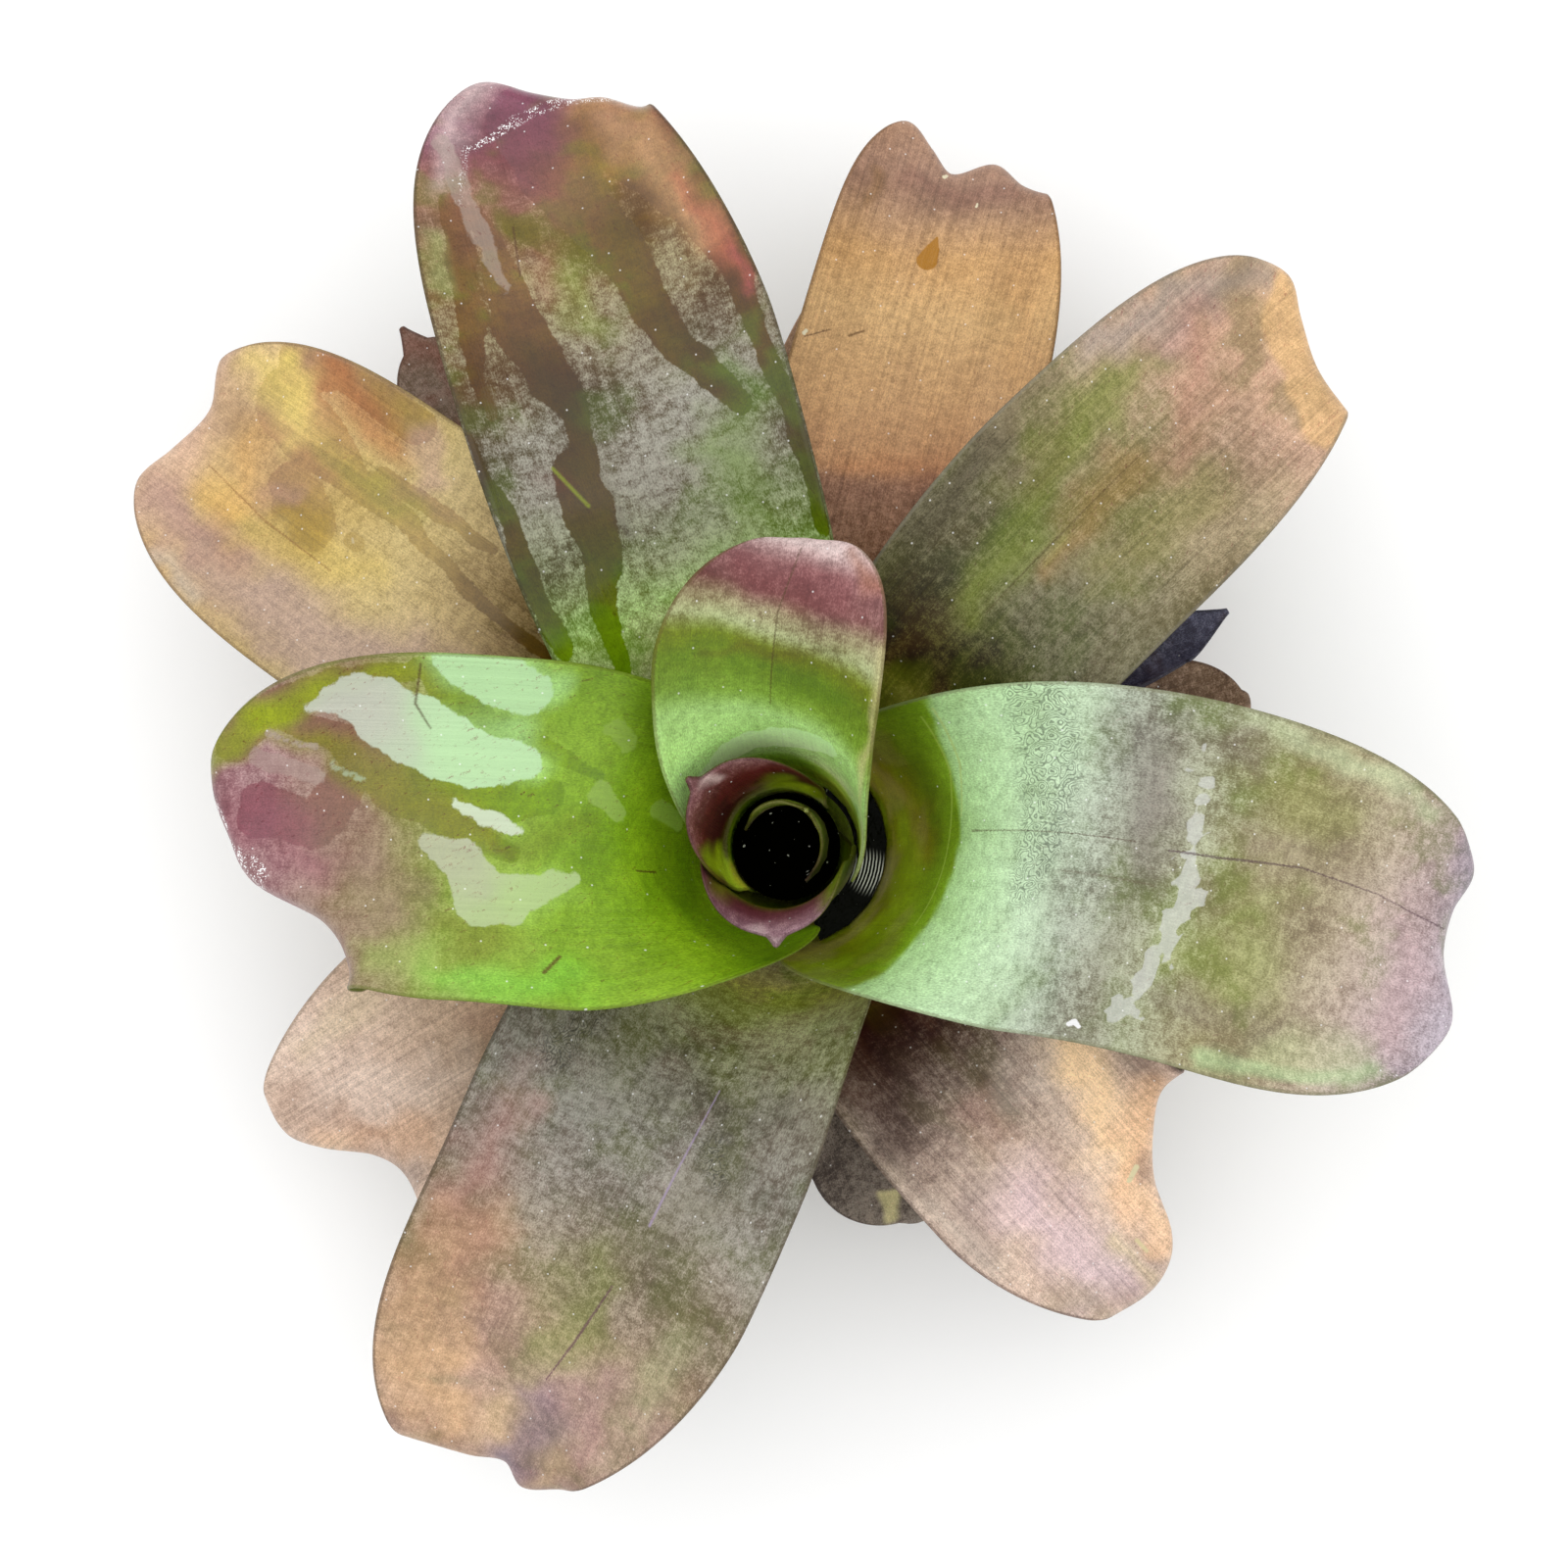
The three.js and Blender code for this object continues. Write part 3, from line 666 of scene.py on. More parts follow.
class Complexion:
    """A leaf's large patterns, kept on its mesh for the paint to read."""

    # The sizes in millimetres of the wandering bands, the patches and the blotches.
    DRIFT_SIZE = 30
    PATCH_SIZE = 22
    BLOTCH_SIZE = 15

    # How far trails wander, and the size of their bends.
    WANDER = 1.1
    BEND_SIZE = 7

    # A tint's edge: how far it wanders, more so where it is soft, how wide it fades, and how
    # much its cover varies with the patches and the blotches.
    TINT_WANDER = 1.4
    SOFT_WANDER = 0.25
    TINT_FADE = 1.35
    TINT_PATCHES = 0.12
    TINT_BLOTCHES = 0.1

    # The flesh: how far its bands drift, from where and how fast blotches set in, and how much
    # lighter its patches are.
    FLESH_DRIFT = 0.6
    BLOTCH_START = 0.1
    BLOTCH_FADE = 0.6
    FLESH_PATCHES = 0.16

    # The bloom and the painted sheen in its stops: how far their bands drift, how much they take up
    # from a tint and how much lighter, how uneven blotches make them, and how soon that sets in
    # with the cover.
    BLOOM_AND_SHEEN_DRIFT = 0.3
    TAKEN_UP = 0.75
    PALER = 1.15
    BLOOM_AND_SHEEN_BLOTCHES = 0.4
    BLOOM_AND_SHEEN_ONSET = 5

    # The underside: (start, width) in millimetres past the collar where the brown foot turns
    # pale and the sheath green, how far the second wanders, and how patchy it is.
    FOOT_FADE = (-44, 22)
    SHEATH_FADE = (-16, 46)
    SHEATH_DRIFT = 12
    UNDER_PATCHES = 0.15
    RIM_SIDE = 0.2
    RIM_FADE = 0.8

    # A crisp patch: how far and how finely its edge is broken, and how wide it meets the next.
    RAGGED = 0.6
    RAGGED_SIZE = 2.4
    MEETING = 2.5
    DEEP = -8
    BEYOND = 30

    def __init__(self, skin: Skin, seed: int, s: np.ndarray, t: np.ndarray, side: np.ndarray) -> None:
        """Draws the clouds that the patterns share.

        Args:
            skin: how the leaf is coloured.
            seed: the leaf's number.
            s: each point's way past the collar, in millimetres.
            t: its way across, in millimetres.
            side: 1 on the upper side and -1 below.
        """
        self.skin = skin
        self.seed = Draw.A_LEAF * seed
        self.s, self.t, self.side = s, t, side
        self.drift = self.clouds(self.DRIFT_SIZE, 1, Draw.DRIFT)
        self.patch = self.clouds(self.PATCH_SIZE, skin.run, Draw.PATCH)
        self.blotch = self.clouds(self.BLOTCH_SIZE, skin.run, Draw.BLOTCH)
        self.lit = straight_through(skin.lit, s)

    def clouds(self, size: float, stretch: float, draw: Draw) -> np.ndarray:
        """Noise in three sizes.

        Args:
            size: the largest size, in millimetres.
            stretch: how much the clouds are stretched across the leaf.
            draw: which clouds they are.

        Returns:
            A value at each point, from about -1 to 1.
        """
        return sum(share * lumps(self.s * stretch, self.t, size / step, self.seed + draw + k)
                   for k, (step, share) in enumerate(CLOUD_LAYERS))

    def nearest(self, trails: tuple[Trail, ...], wander: float = WANDER) -> np.ndarray:
        """Measures the way to the nearest of the trails.

        Args:
            trails: where they run.
            wander: how far they stray, in millimetres.

        Returns:
            The way from each point; below 0 inside a trail.
        """
        along, across = (lumps(self.s, self.t, self.BEND_SIZE, self.seed + draw)
                         for draw in (Draw.WANDER_ALONG, Draw.WANDER_ACROSS))
        s, t = self.s + wander * along, self.t + wander * across
        return np.min([np.full(s.shape, FAR), *(gap_to(trail, s, t) for trail in trails)], axis=0)

    def band(self, stops: Stops, drift: float) -> np.ndarray:
        """Reads a skin's bands.

        Args:
            stops: (along, colour) or (along, colour, cover).
            drift: how far the bands wander, in millimetres.

        Returns:
            A row of the colour, and the cover where it has one, at each point.
        """
        at = self.s - self.t * self.skin.tilt + drift * self.drift
        along = [stop[0] for stop in stops]
        shades = np.array([(*colour(stop[1])[:3], *stop[2:]) for stop in stops])
        return np.stack([np.interp(at, along, column) for column in shades.T], axis=-1)

    def tinted(self) -> tuple[np.ndarray, np.ndarray]:
        """Lays the soft patches over one another: stains, and on a few leaves painted sheen.

        Returns:
            Rows of their colour, already weighed by its cover, with that cover, and their gloss.
        """
        stain_and_sheen = np.zeros((len(self.s), 4))
        gloss = np.zeros(len(self.s))
        uneven = 1 + self.TINT_PATCHES * self.patch + self.TINT_BLOTCHES * self.blotch
        for tint in self.skin.tints:
            gap = self.nearest((tint.trail,), self.TINT_WANDER + self.SOFT_WANDER * tint.soft)
            inside = smooth(0.5 - gap / (self.TINT_FADE * tint.soft))
            cover = np.clip(tint.strength * inside * uneven, 0, 1)
            stain_and_sheen = blended(stain_and_sheen, np.array(colour(tint.colour))[None], cover)
            gloss = mixed(gloss, tint.gloss, cover)
        return stain_and_sheen, gloss

    def flesh(self, stain_and_sheen: np.ndarray) -> np.ndarray:
        """Colours the living flesh in bands, with blotches of two other colours.

        Args:
            stain_and_sheen: the soft patches, stains and painted sheen alike.

        Returns:
            A row of colour for each point.
        """
        skin = self.skin
        flesh = self.band(skin.flesh, self.FLESH_DRIFT * skin.drift)[:, :3]
        blotched = (self.blotch + self.BLOTCH_START) / self.BLOTCH_FADE
        for code, cover in ((skin.blush, smooth(blotched) * skin.mottle),
                            (skin.fresh, smooth(-blotched) * skin.clouds)):
            flesh = blended(flesh, np.array(colour(code))[None, :3], cover)
        flesh = flesh * (1 - stain_and_sheen[:, 3:]) + stain_and_sheen[:, :3]
        return pigments(flesh * (1 + self.FLESH_PATCHES * self.patch[:, None]), self.lit)

    def bloom_and_sheen(self, stain_and_sheen: np.ndarray) -> np.ndarray:
        """Colours the bloom and the painted sheen in its stops, which take up a little from the patches below
        them.

        Args:
            stain_and_sheen: the soft patches, stains and painted sheen alike.

        Returns:
            A row of colour and cover for each point.
        """
        bloom_and_sheen = self.band(self.skin.bloom_and_sheen, self.BLOOM_AND_SHEEN_DRIFT * self.skin.drift)
        shade = bloom_and_sheen[:, :3] * (1 - self.TAKEN_UP * stain_and_sheen[:, 3:]) + self.TAKEN_UP * self.PALER * stain_and_sheen[:, :3]
        uneven = self.skin.patchy * (self.patch + self.BLOOM_AND_SHEEN_BLOTCHES * self.blotch)
        cover = bloom_and_sheen[:, 3] + uneven * smooth(bloom_and_sheen[:, 3] * self.BLOOM_AND_SHEEN_ONSET)
        return np.column_stack([pigments(shade, self.lit), np.clip(cover, 0, 1)])

    def underside(self) -> np.ndarray:
        """Colours the other side, dull and paler towards the sheath.

        Returns:
            A row of colour for each point.
        """
        foot, sheath, blade = (np.array(pigment(code))[None, :3]
                               for code in (BROWN_FOOT, PALE_SHEATH, self.skin.under))
        past_foot = (self.s - self.FOOT_FADE[0]) / self.FOOT_FADE[1]
        past_sheath = (self.s + self.SHEATH_DRIFT * self.drift - self.SHEATH_FADE[0]) / self.SHEATH_FADE[1]
        shade = blended(blended(foot, sheath, smooth(past_foot)), blade, smooth(past_sheath))
        return shade * (1 + self.UNDER_PATCHES * self.patch[:, None])

    def dry(self) -> tuple[np.ndarray, np.ndarray]:
        """Lays the crisp patches beside one another, their colours blended where they meet.

        Returns:
            Rows of colour and cover, and the way from each point to the nearest patch.
        """
        nearest = np.full(len(self.s), FAR)
        bloom = np.zeros((len(self.s), 4))
        total = np.full((len(self.s), 1), TINY)
        for patch in self.skin.dry:
            ragged = lumps(self.s, self.t, self.RAGGED_SIZE, self.seed + Draw.RAGGED)
            gap = self.nearest((patch.trail,)) + self.RAGGED * patch.soft * ragged
            share = np.exp(-np.clip(gap, self.DEEP, self.BEYOND) / self.MEETING)[:, None]
            bloom += share * np.array([(*colour(patch.colour)[:3], patch.strength)])
            total += share
            nearest = np.minimum(gap, nearest)
        bloom /= total
        bloom[:, :3] = pigments(bloom[:, :3], self.lit)
        return bloom, nearest

    def write(self, mesh: bpy.types.Mesh) -> None:
        """Writes the patterns to a mesh's points, without marks or bloom on the underside.

        Args:
            mesh: the leaf's mesh.
        """
        skin = self.skin
        stain_and_sheen, gloss = self.tinted()
        below = smooth((self.RIM_SIDE - self.side) / self.RIM_FADE)
        flesh = blended(self.flesh(stain_and_sheen), self.underside(), below)
        bloom_and_sheen = self.bloom_and_sheen(stain_and_sheen)
        bloom_and_sheen[:, 3] *= 1 - below
        bloom, bloom_gap = self.dry()
        far = FAR * below
        values = {
            "wet_gap": self.nearest(skin.wet) + far,
            "glint_gap": self.nearest(skin.glints) + far,
            "grazed_gap": self.nearest(skin.grazed) + far,
            "bloom_gap": bloom_gap + far,
            "crumb": straight_through(skin.crumbs, self.s),
        }
        colours = {"flesh": np.column_stack([flesh, gloss * (1 - below)]), "bloom_and_sheen": bloom_and_sheen, "bloom": bloom}
        for name, value in values.items():
            mesh.attributes.new(name, "FLOAT", "POINT").data.foreach_set("value", value)
        for name, shade in colours.items():
            mesh.attributes.new(name, "FLOAT_COLOR", "POINT").data.foreach_set("color", shade.ravel())


@dataclass
class LeafPiece:
    """One leaf as a mesh: a flat blank, given thickness and bent to the leaf's form."""

    leaf: Leaf
    skin: Skin
    seed: int

    def __post_init__(self) -> None:
        """Works out the leaf's form."""
        self.form = LeafForm(self.leaf)

    def blank(self) -> bmesh.types.BMesh:
        """Cuts the leaf's cells while it is flat.

        Returns:
            A slab of fine cells from -1 to 1 on each axis, with a loop round its rim.
        """
        rows = len(self.form.rows())
        slab = bmesh.new()
        bmesh.ops.create_grid(slab, x_segments=rows - 1, y_segments=COLUMNS, size=1)
        bmesh.ops.solidify(slab, geom=slab.faces[:], thickness=2)
        bmesh.ops.translate(slab, verts=slab.verts[:], vec=(0, 0, 1))
        rim = [edge for edge in slab.edges if edge.verts[0].co.z * edge.verts[1].co.z < 0]
        bmesh.ops.subdivide_edges(slab, edges=rim, cuts=1)
        return slab

    def build(self) -> bpy.types.Object:
        """Bends the blank, and keeps on it what the skin is painted by.

        Returns:
            The leaf's object, at the origin and with its place in its mesh.
        """
        form = self.form
        mesh = bpy.data.meshes.new(self.leaf.name)
        slab = self.blank()
        slab.to_mesh(mesh)
        slab.free()
        x, v, w = points_of(mesh).T
        rows = form.rows()
        s = np.interp((x + 1) / 2 * (len(rows) - 1), np.arange(len(rows)), rows)
        t = form.across(s, v, MARGIN_THICKNESS / 2 * (1 - np.abs(w)))
        half = mixed(RIB_THICKNESS, MARGIN_THICKNESS, v * v) / 2
        places = form.folded(s, t) + form.normal(form.folded, s, t) * (w * half)[:, None]
        self._keep(mesh, s, t, v, w)
        return finished(f"{self.leaf.name}_skin", mesh, places)

    def _keep(self, mesh: bpy.types.Mesh, s: np.ndarray, t: np.ndarray, v: np.ndarray,
              w: np.ndarray) -> None:
        """Writes the skin's own map and the places that the paint reads.

        Args:
            mesh: the leaf's mesh.
            s: each vertex's way along the leaf, in millimetres.
            t: its way across, in millimetres.
            v: its share of the half width.
            w: its side, 1 above and -1 below.
        """
        past_collar = s - self.form.rib.collar
        loops = np.empty(len(mesh.loops), dtype=np.int32)
        mesh.loops.foreach_get("vertex_index", loops)
        skin = mesh.uv_layers.new(name="skin")
        places = np.stack([past_collar, t], axis=-1) * MM
        skin.data.foreach_set("uv", places[loops].ravel())
        rim = mesh.attributes.new("rim", "FLOAT", "POINT")
        rim.data.foreach_set("value", (1 - np.abs(v)) * self.form.half_width(s, v))
        Complexion(self.skin, self.seed, past_collar, t, w).write(mesh)


def points_of(mesh: bpy.types.Mesh) -> np.ndarray:
    """A mesh's points, a row for each."""
    flat = np.empty(len(mesh.vertices) * 3)
    mesh.vertices.foreach_get("co", flat)
    return flat.reshape(-1, 3)


def finished(name: str, mesh: bpy.types.Mesh, places: np.ndarray) -> bpy.types.Object:
    """Moves a mesh's points to their places and stands it in the scene.

    Args:
        name: the piece's name.
        mesh: its mesh.
        places: where its points come, in millimetres.

    Returns:
        The piece, at the origin.
    """
    mesh.vertices.foreach_set("co", (places * MM).ravel())
    mesh.shade_smooth()
    mesh.update()
    piece = bpy.data.objects.new(name, mesh)
    bpy.context.collection.objects.link(piece)
    return piece


@dataclass(frozen=True)
class Texture:
    """A noise in the skin, in millimetres: its size along is its size divided by stretch."""

    stretch: float
    size: float
    detail: float
    rough: float


# The bloom's crumbs, the fibres that run along a leaf, and the fine grain of its skin.
CRUMBS = Texture(1.3, 3.6, 5, 0.76)
FIBRES = Texture(0.012, 1.1, 2, 0.7)
GRAINS = Texture(0.6, 0.42, 1, 0.6)


@dataclass(frozen=True)
class Relief:
    """How much the crumbs, the grains and the fibres lighten and darken a colour."""

    crumbs: float
    grains: float
    fibres: float


FLESH_RELIEF = Relief(0.8, 0.6, 1.7)
BLOOM_AND_SHEEN_RELIEF = Relief(1.1, 0.9, 1.3)


class Signal:
    """A socket's value in a material, on which sums are written as on numbers."""

    def __init__(self, paint: "Paint", socket: bpy.types.NodeSocket) -> None:
        """Takes hold of a socket of the paint's material."""
        self.paint = paint
        self.socket = socket

    def __add__(self, other: "Signal | float") -> "Signal":
        """The sum of this and another value."""
        return self.paint.math("ADD", self, other)

    __radd__ = __add__

    def __sub__(self, other: "Signal | float") -> "Signal":
        """This less another value."""
        return self.paint.math("SUBTRACT", self, other)

    def __rsub__(self, other: float) -> "Signal":
        """A number less this."""
        return self.paint.math("SUBTRACT", other, self)

    def __mul__(self, other: "Signal | float") -> "Signal":
        """This times another value."""
        return self.paint.math("MULTIPLY", self, other)

    __rmul__ = __mul__

    def lower(self, other: "Signal | float") -> "Signal":
        """The lower of this and another value."""
        return self.paint.math("MINIMUM", self, other)

    def held(self) -> "Signal":
        """The value kept between 0 and 1."""
        return self.paint.math("ADD", self, 0.0, clamp=True)

    def step(self, start: float, end: float) -> "Signal":
        """A smooth step from 0 at start to 1 at end; end may be the lower one."""
        return Signal(self.paint, self.paint.node(
            "ShaderNodeMapRange", {"interpolation_type": "SMOOTHSTEP"},
            {"Value": self, "From Min": start, "From Max": end}).outputs["Result"])


class Paint:
    """A material that is built up from nodes."""

    def __init__(self, name: str) -> None:
        """Starts an empty material.

        Args:
            name: the material's name.
        """
        self.material = bpy.data.materials.new(name)
        self.material.use_nodes = True
        self.tree = self.material.node_tree
        self.tree.nodes.clear()

    def node(self, kind: str, settings: dict | None = None, sockets: dict | None = None) -> bpy.types.Node:
        """Adds a node.

        Args:
            kind: the node's type.
            settings: its own properties, set before its sockets.
            sockets: values or signals by socket name or number.

        Returns:
            The node.
        """
        node = self.tree.nodes.new(kind)
        for name, value in (settings or {}).items():
            setattr(node, name, value)
        for name, value in (sockets or {}).items():
            if isinstance(value, Signal):
                self.tree.links.new(value.socket, node.inputs[name])
            else:
                node.inputs[name].default_value = value
        return node

    def math(self, operation: str, *values: Signal | float, clamp: bool = False) -> Signal:
        """A Math node's result on values or signals."""
        settings = {"operation": operation, "use_clamp": clamp}
        return Signal(self, self.node("ShaderNodeMath", settings, dict(enumerate(values))).outputs[0])

    def vector(self, operation: str, *values: Signal | tuple, out: str = "Vector") -> Signal:
        """A Vector Math node's result on vectors."""
        node = self.node("ShaderNodeVectorMath", {"operation": operation}, dict(enumerate(values)))
        return Signal(self, node.outputs[out])

    def length(self, vector: Signal) -> Signal:
        """A vector's length."""
        return self.vector("LENGTH", vector, out="Value")

    def scaled(self, vector: Signal | tuple, factor: Signal | float) -> Signal:
        """A vector or a colour times a number."""
        node = self.node("ShaderNodeVectorMath", {"operation": "SCALE"}, {0: vector, "Scale": factor})
        return Signal(self, node.outputs[0])

    def split(self, vector: Signal) -> tuple[Signal, Signal, Signal]:
        """A vector's three values."""
        node = self.node("ShaderNodeSeparateXYZ", None, {0: vector})
        return tuple(Signal(self, socket) for socket in node.outputs)

    def place_in_object(self, factor: tuple[float, float, float]) -> Signal:
        """The place in the object's own coordinates, each times its factor."""
        spot = Signal(self, self.node("ShaderNodeTexCoord").outputs["Object"])
        return self.vector("MULTIPLY", spot, factor)

    def attribute(self, name: str, out: str = "Fac") -> Signal:
        """What a mesh keeps under a name at each of its places."""
        return Signal(self, self.node("ShaderNodeAttribute", {"attribute_name": name}).outputs[out])

    def noise(self, at: Signal, size: float, detail: float = 2, rough: float = 0.55,
              dimensions: str = "2D") -> Signal:
        """Adds noise.

        Args:
            at: the place, in the units of size.
            size: how far apart its lumps are.
            detail: how many finer layers it has.
            rough: how strong each finer layer is.
            dimensions: 2D for noise in the plane, 3D for noise in space.

        Returns:
            Values about 0.5.
        """
        node = self.node("ShaderNodeTexNoise", {"noise_dimensions": dimensions}, {
            "Vector": at, "Scale": 1 / size, "Detail": detail, "Roughness": rough})
        return Signal(self, node.outputs["Fac"])

    def mix(self, a: Signal | tuple, b: Signal | tuple, share: Signal | float) -> Signal:
        """Two colours mixed by a share."""
        node = self.node("ShaderNodeMix", {"data_type": "RGBA"}, {"Factor": share, 6: a, 7: b})
        return Signal(self, node.outputs[2])

    def bump(self, height: Signal, distance: float, strength: Signal | float = 1) -> Signal:
        """A normal that is bent by a height."""
        node = self.node("ShaderNodeBump", None, {
            "Height": height, "Distance": distance, "Strength": strength})
        return Signal(self, node.outputs[0])

    def finish(self, sockets: dict) -> bpy.types.Material:
        """Ends the material with its shader.

        Args:
            sockets: the shader's values or signals by socket name.

        Returns:
            The material.
        """
        shader = self.node("ShaderNodeBsdfPrincipled", None, sockets)
        out = self.node("ShaderNodeOutputMaterial")
        self.tree.links.new(shader.outputs[0], out.inputs["Surface"])
        return self.material


class LeafPaint(Paint):
    """A leaf's skin: the bloom's crumbs over the flesh, wet streaks, fibres, specks and painted glints."""

    # How far a leaf's noise is moved for each number that it comes after the first.
    MOVED = (91.0, 57.0)

    # How far in millimetres crumbs break up the edges of wet and crisp places, and grains those
    # of lines, and how far each edge fades to either side.
    WET_RAGGED = 2
    WET_FADE = 0.3
    DRY_RAGGED = 2.4
    DRY_FADE = 0.4
    LINE_RAGGED = 0.5
    DROP_FADE = 0.3

    # How much wet flesh darkens, and how strong the fibres are on the crisp patches.
    WET_DARKER = 0.08
    DRY_FIBRES = 0.2

    # The bloom: how much of the flesh it hides at most, how grains and fibres shape its crumbs,
    # how much more of them its cover lets through, and how crisp they are.
    DENSEST = 0.85
    CRUMB_GRAINS = 0.4
    CRUMB_FIBRES = 0.25
    CRUMB_COVER = 0.5
    CRUMB_EDGE = 0.24
    CRUMB_ONSET = 0.1

    # The dark specks: their size in millimetres, how far crumbs move and gather them, where
    # their noise starts to show, how much the bloom hides them, and what they do to a colour.
    SPECK_SIZE = 1.3
    SPECK_SHIFT = (9.1, 5.3, 0)
    SPECK_CRUMBS = 0.35
    SPECK_STEP = (0.67, 0.74)
    SPECK_HIDDEN = 0.7
    SPECK_SHADE = (0.55, 0.24, 0.3)

    # Scratches: rings in a smooth noise, how crumbs break them and where they show, how far in
    # millimetres they fade at the edge of their place, and how dark and dense they are.
    RING_SIZE = 4.5
    RINGS = 60
    SCRATCH_CRUMBS = 2
    SCRATCH_STEP = (0.25, 0.65)
    SCRATCH_FADE = (2, -4)
    SCRATCH_SHADE = 0.38
    SCRATCH_COVER = 0.85

    # The rim, and the grains that break its edge, in millimetres.
    RIM_GRAINS = 0.8
    RIM_STEP = (0.8, 0.1)
    RIM_COVER = 0.5

    # Painted highlights: bright points, in shares of the way between them, and the wet glints.
    POINTS_APART = 14
    POINT_STEP = (0.026, 0.012)
    POINT_COVER = 0.5
    GLINT_GRAINS = 0.7
    GLINT_STEP = (0.06, 0.16)
    GLINT_FADE = (0.6, -0.8)

    # How glossy bare flesh and wet places are, and what gloss does to the roughness.
    BARE_GLOSS = 0.25
    WET_GLOSS = 0.6
    DULL = 0.22
    POLISHED = 0.16
    EVEN = 0.1

    # The relief of the skin: its depth in metres, its shares of fibres and grains, and how much
    # of it water fills.
    DEPTH = 0.0004
    FIBRE_HEIGHT = 0.5
    GRAIN_HEIGHT = 0.25
    FILLED = 0.8

    # The shader's own values.
    SPECULAR = 0.3
    WET_COAT = 0.12
    COAT_ROUGHNESS = 0.15

    def __init__(self, name: str, skin: Skin, seed: int) -> None:
        """Starts the material with the textures that every leaf has.

        Args:
            name: the material's name.
            skin: how the leaf is coloured.
            seed: the leaf's number.
        """
        super().__init__(name)
        self.skin = skin
        uv = Signal(self, self.node("ShaderNodeUVMap", {"uv_map": "skin"}).outputs[0])
        self.place = self.scaled(uv, 1 / MM)
        self.shifted = self.vector("ADD", self.place, (self.MOVED[0] * seed, self.MOVED[1] * seed, 0))
        self.crumbs, self.fibres, self.grains = (self._texture(kind) for kind in (CRUMBS, FIBRES, GRAINS))

    def _texture(self, kind: Texture) -> Signal:
        """A texture's value at each place, about 0."""
        at = self.vector("MULTIPLY", self.shifted, (kind.stretch, 1, 1))
        return self.noise(at, kind.size, kind.detail, kind.rough) - 0.5

    def _light(self, relief: Relief) -> Signal:
        """What a colour is multiplied by to show the textures."""
        fibres = self.fibres * (relief.fibres * self.skin.grain)
        return self.crumbs * relief.crumbs + self.grains * relief.grains + fibres + 1

    def distance(self, trail: Trail) -> Signal:
        """Measures the way to a trail.

        Args:
            trail: its places, with half widths.

        Returns:
            How far a place lies outside it, in millimetres; below 0 inside it.
        """
        nearest = None
        for (s0, t0, r0), (s1, t1, r1) in zip(trail, trail[1:]):
            off = self.vector("SUBTRACT", self.place, (s0, t0, 0))
            reach = (s1 - s0, t1 - t0, 0)
            square = reach[0] ** 2 + reach[1] ** 2
            onto = (reach[0] / square, reach[1] / square, 0)
            part = self.vector("DOT_PRODUCT", off, onto, out="Value").held()
            away = self.vector("SUBTRACT", off, self.scaled(reach, part))
            gap = self.length(away) - (part * (r1 - r0) + r0)
            nearest = gap if nearest is None else nearest.lower(gap)
        return nearest

    def build(self) -> bpy.types.Material:
        """Lays the layers of the skin over one another.

        Returns:
            The material.
        """
        skin = self.skin
        ragged = self.attribute("wet_gap") + self.crumbs * self.WET_RAGGED
        wet = ragged.step(self.WET_FADE, -self.WET_FADE)
        shown = self._bloom_and_sheen_cover() * (1 - wet)
        light = self._light(FLESH_RELIEF) - wet * self.WET_DARKER
        flesh = self.scaled(self.attribute("flesh", "Color"), light)
        bloom_and_sheen = self.scaled(self.attribute("bloom_and_sheen", "Color"), self._light(BLOOM_AND_SHEEN_RELIEF))
        shade = self._marked(self.mix(flesh, bloom_and_sheen, shown))
        shade = self._specked(shade, shown)
        gloss = (1 - shown) * self.BARE_GLOSS + (wet + self.attribute("flesh", "Alpha")) * self.WET_GLOSS
        for drop in skin.drops:
            mark = self.distance(drop.trail).step(self.DROP_FADE, -self.DROP_FADE)
            shade = self.mix(shade, pigment(drop.colour), mark * drop.strength)
            gloss = gloss + mark
        edge = self.attribute("rim") + self.grains * self.RIM_GRAINS
        shade = self.mix(shade, pigment(skin.rim), edge.step(*self.RIM_STEP) * self.RIM_COVER)
        gloss = gloss.held()
        height = self.fibres * self.FIBRE_HEIGHT + self.grains * self.GRAIN_HEIGHT
        return self.finish({
            # Painted highlights: the bright points and the wet glints are white in the base colour.
            "Base Color": self.mix(shade, colour("FFFFFF"), self._sparkles()),
            "Roughness": (1 - gloss) * self.DULL + skin.roughness - self.EVEN - gloss * self.POLISHED,
            "Specular IOR Level": self.SPECULAR,
            "Coat Weight": wet * self.WET_COAT,
            "Coat Roughness": self.COAT_ROUGHNESS,
            "Normal": self.bump(height, self.DEPTH, 1 - wet * self.FILLED),
        })

    def _bloom_and_sheen_cover(self) -> Signal:
        """Lays the bloom and the painted sheen in its stops: a thin film, and crumbs that leave gaps.

        Returns:
            How much of the flesh it hides.
        """
        cover = self.attribute("bloom_and_sheen", "Alpha")
        crumb = self.attribute("crumb")
        textures = self.crumbs + self.grains * self.CRUMB_GRAINS + self.fibres * self.CRUMB_FIBRES
        field = textures + (cover - 0.5) * self.CRUMB_COVER
        film = cover * self.DENSEST * (1 - crumb)
        crumbly = field.step(-self.CRUMB_EDGE, self.CRUMB_EDGE) * crumb * self.DENSEST
        return film + crumbly * cover.step(0, self.CRUMB_ONSET)

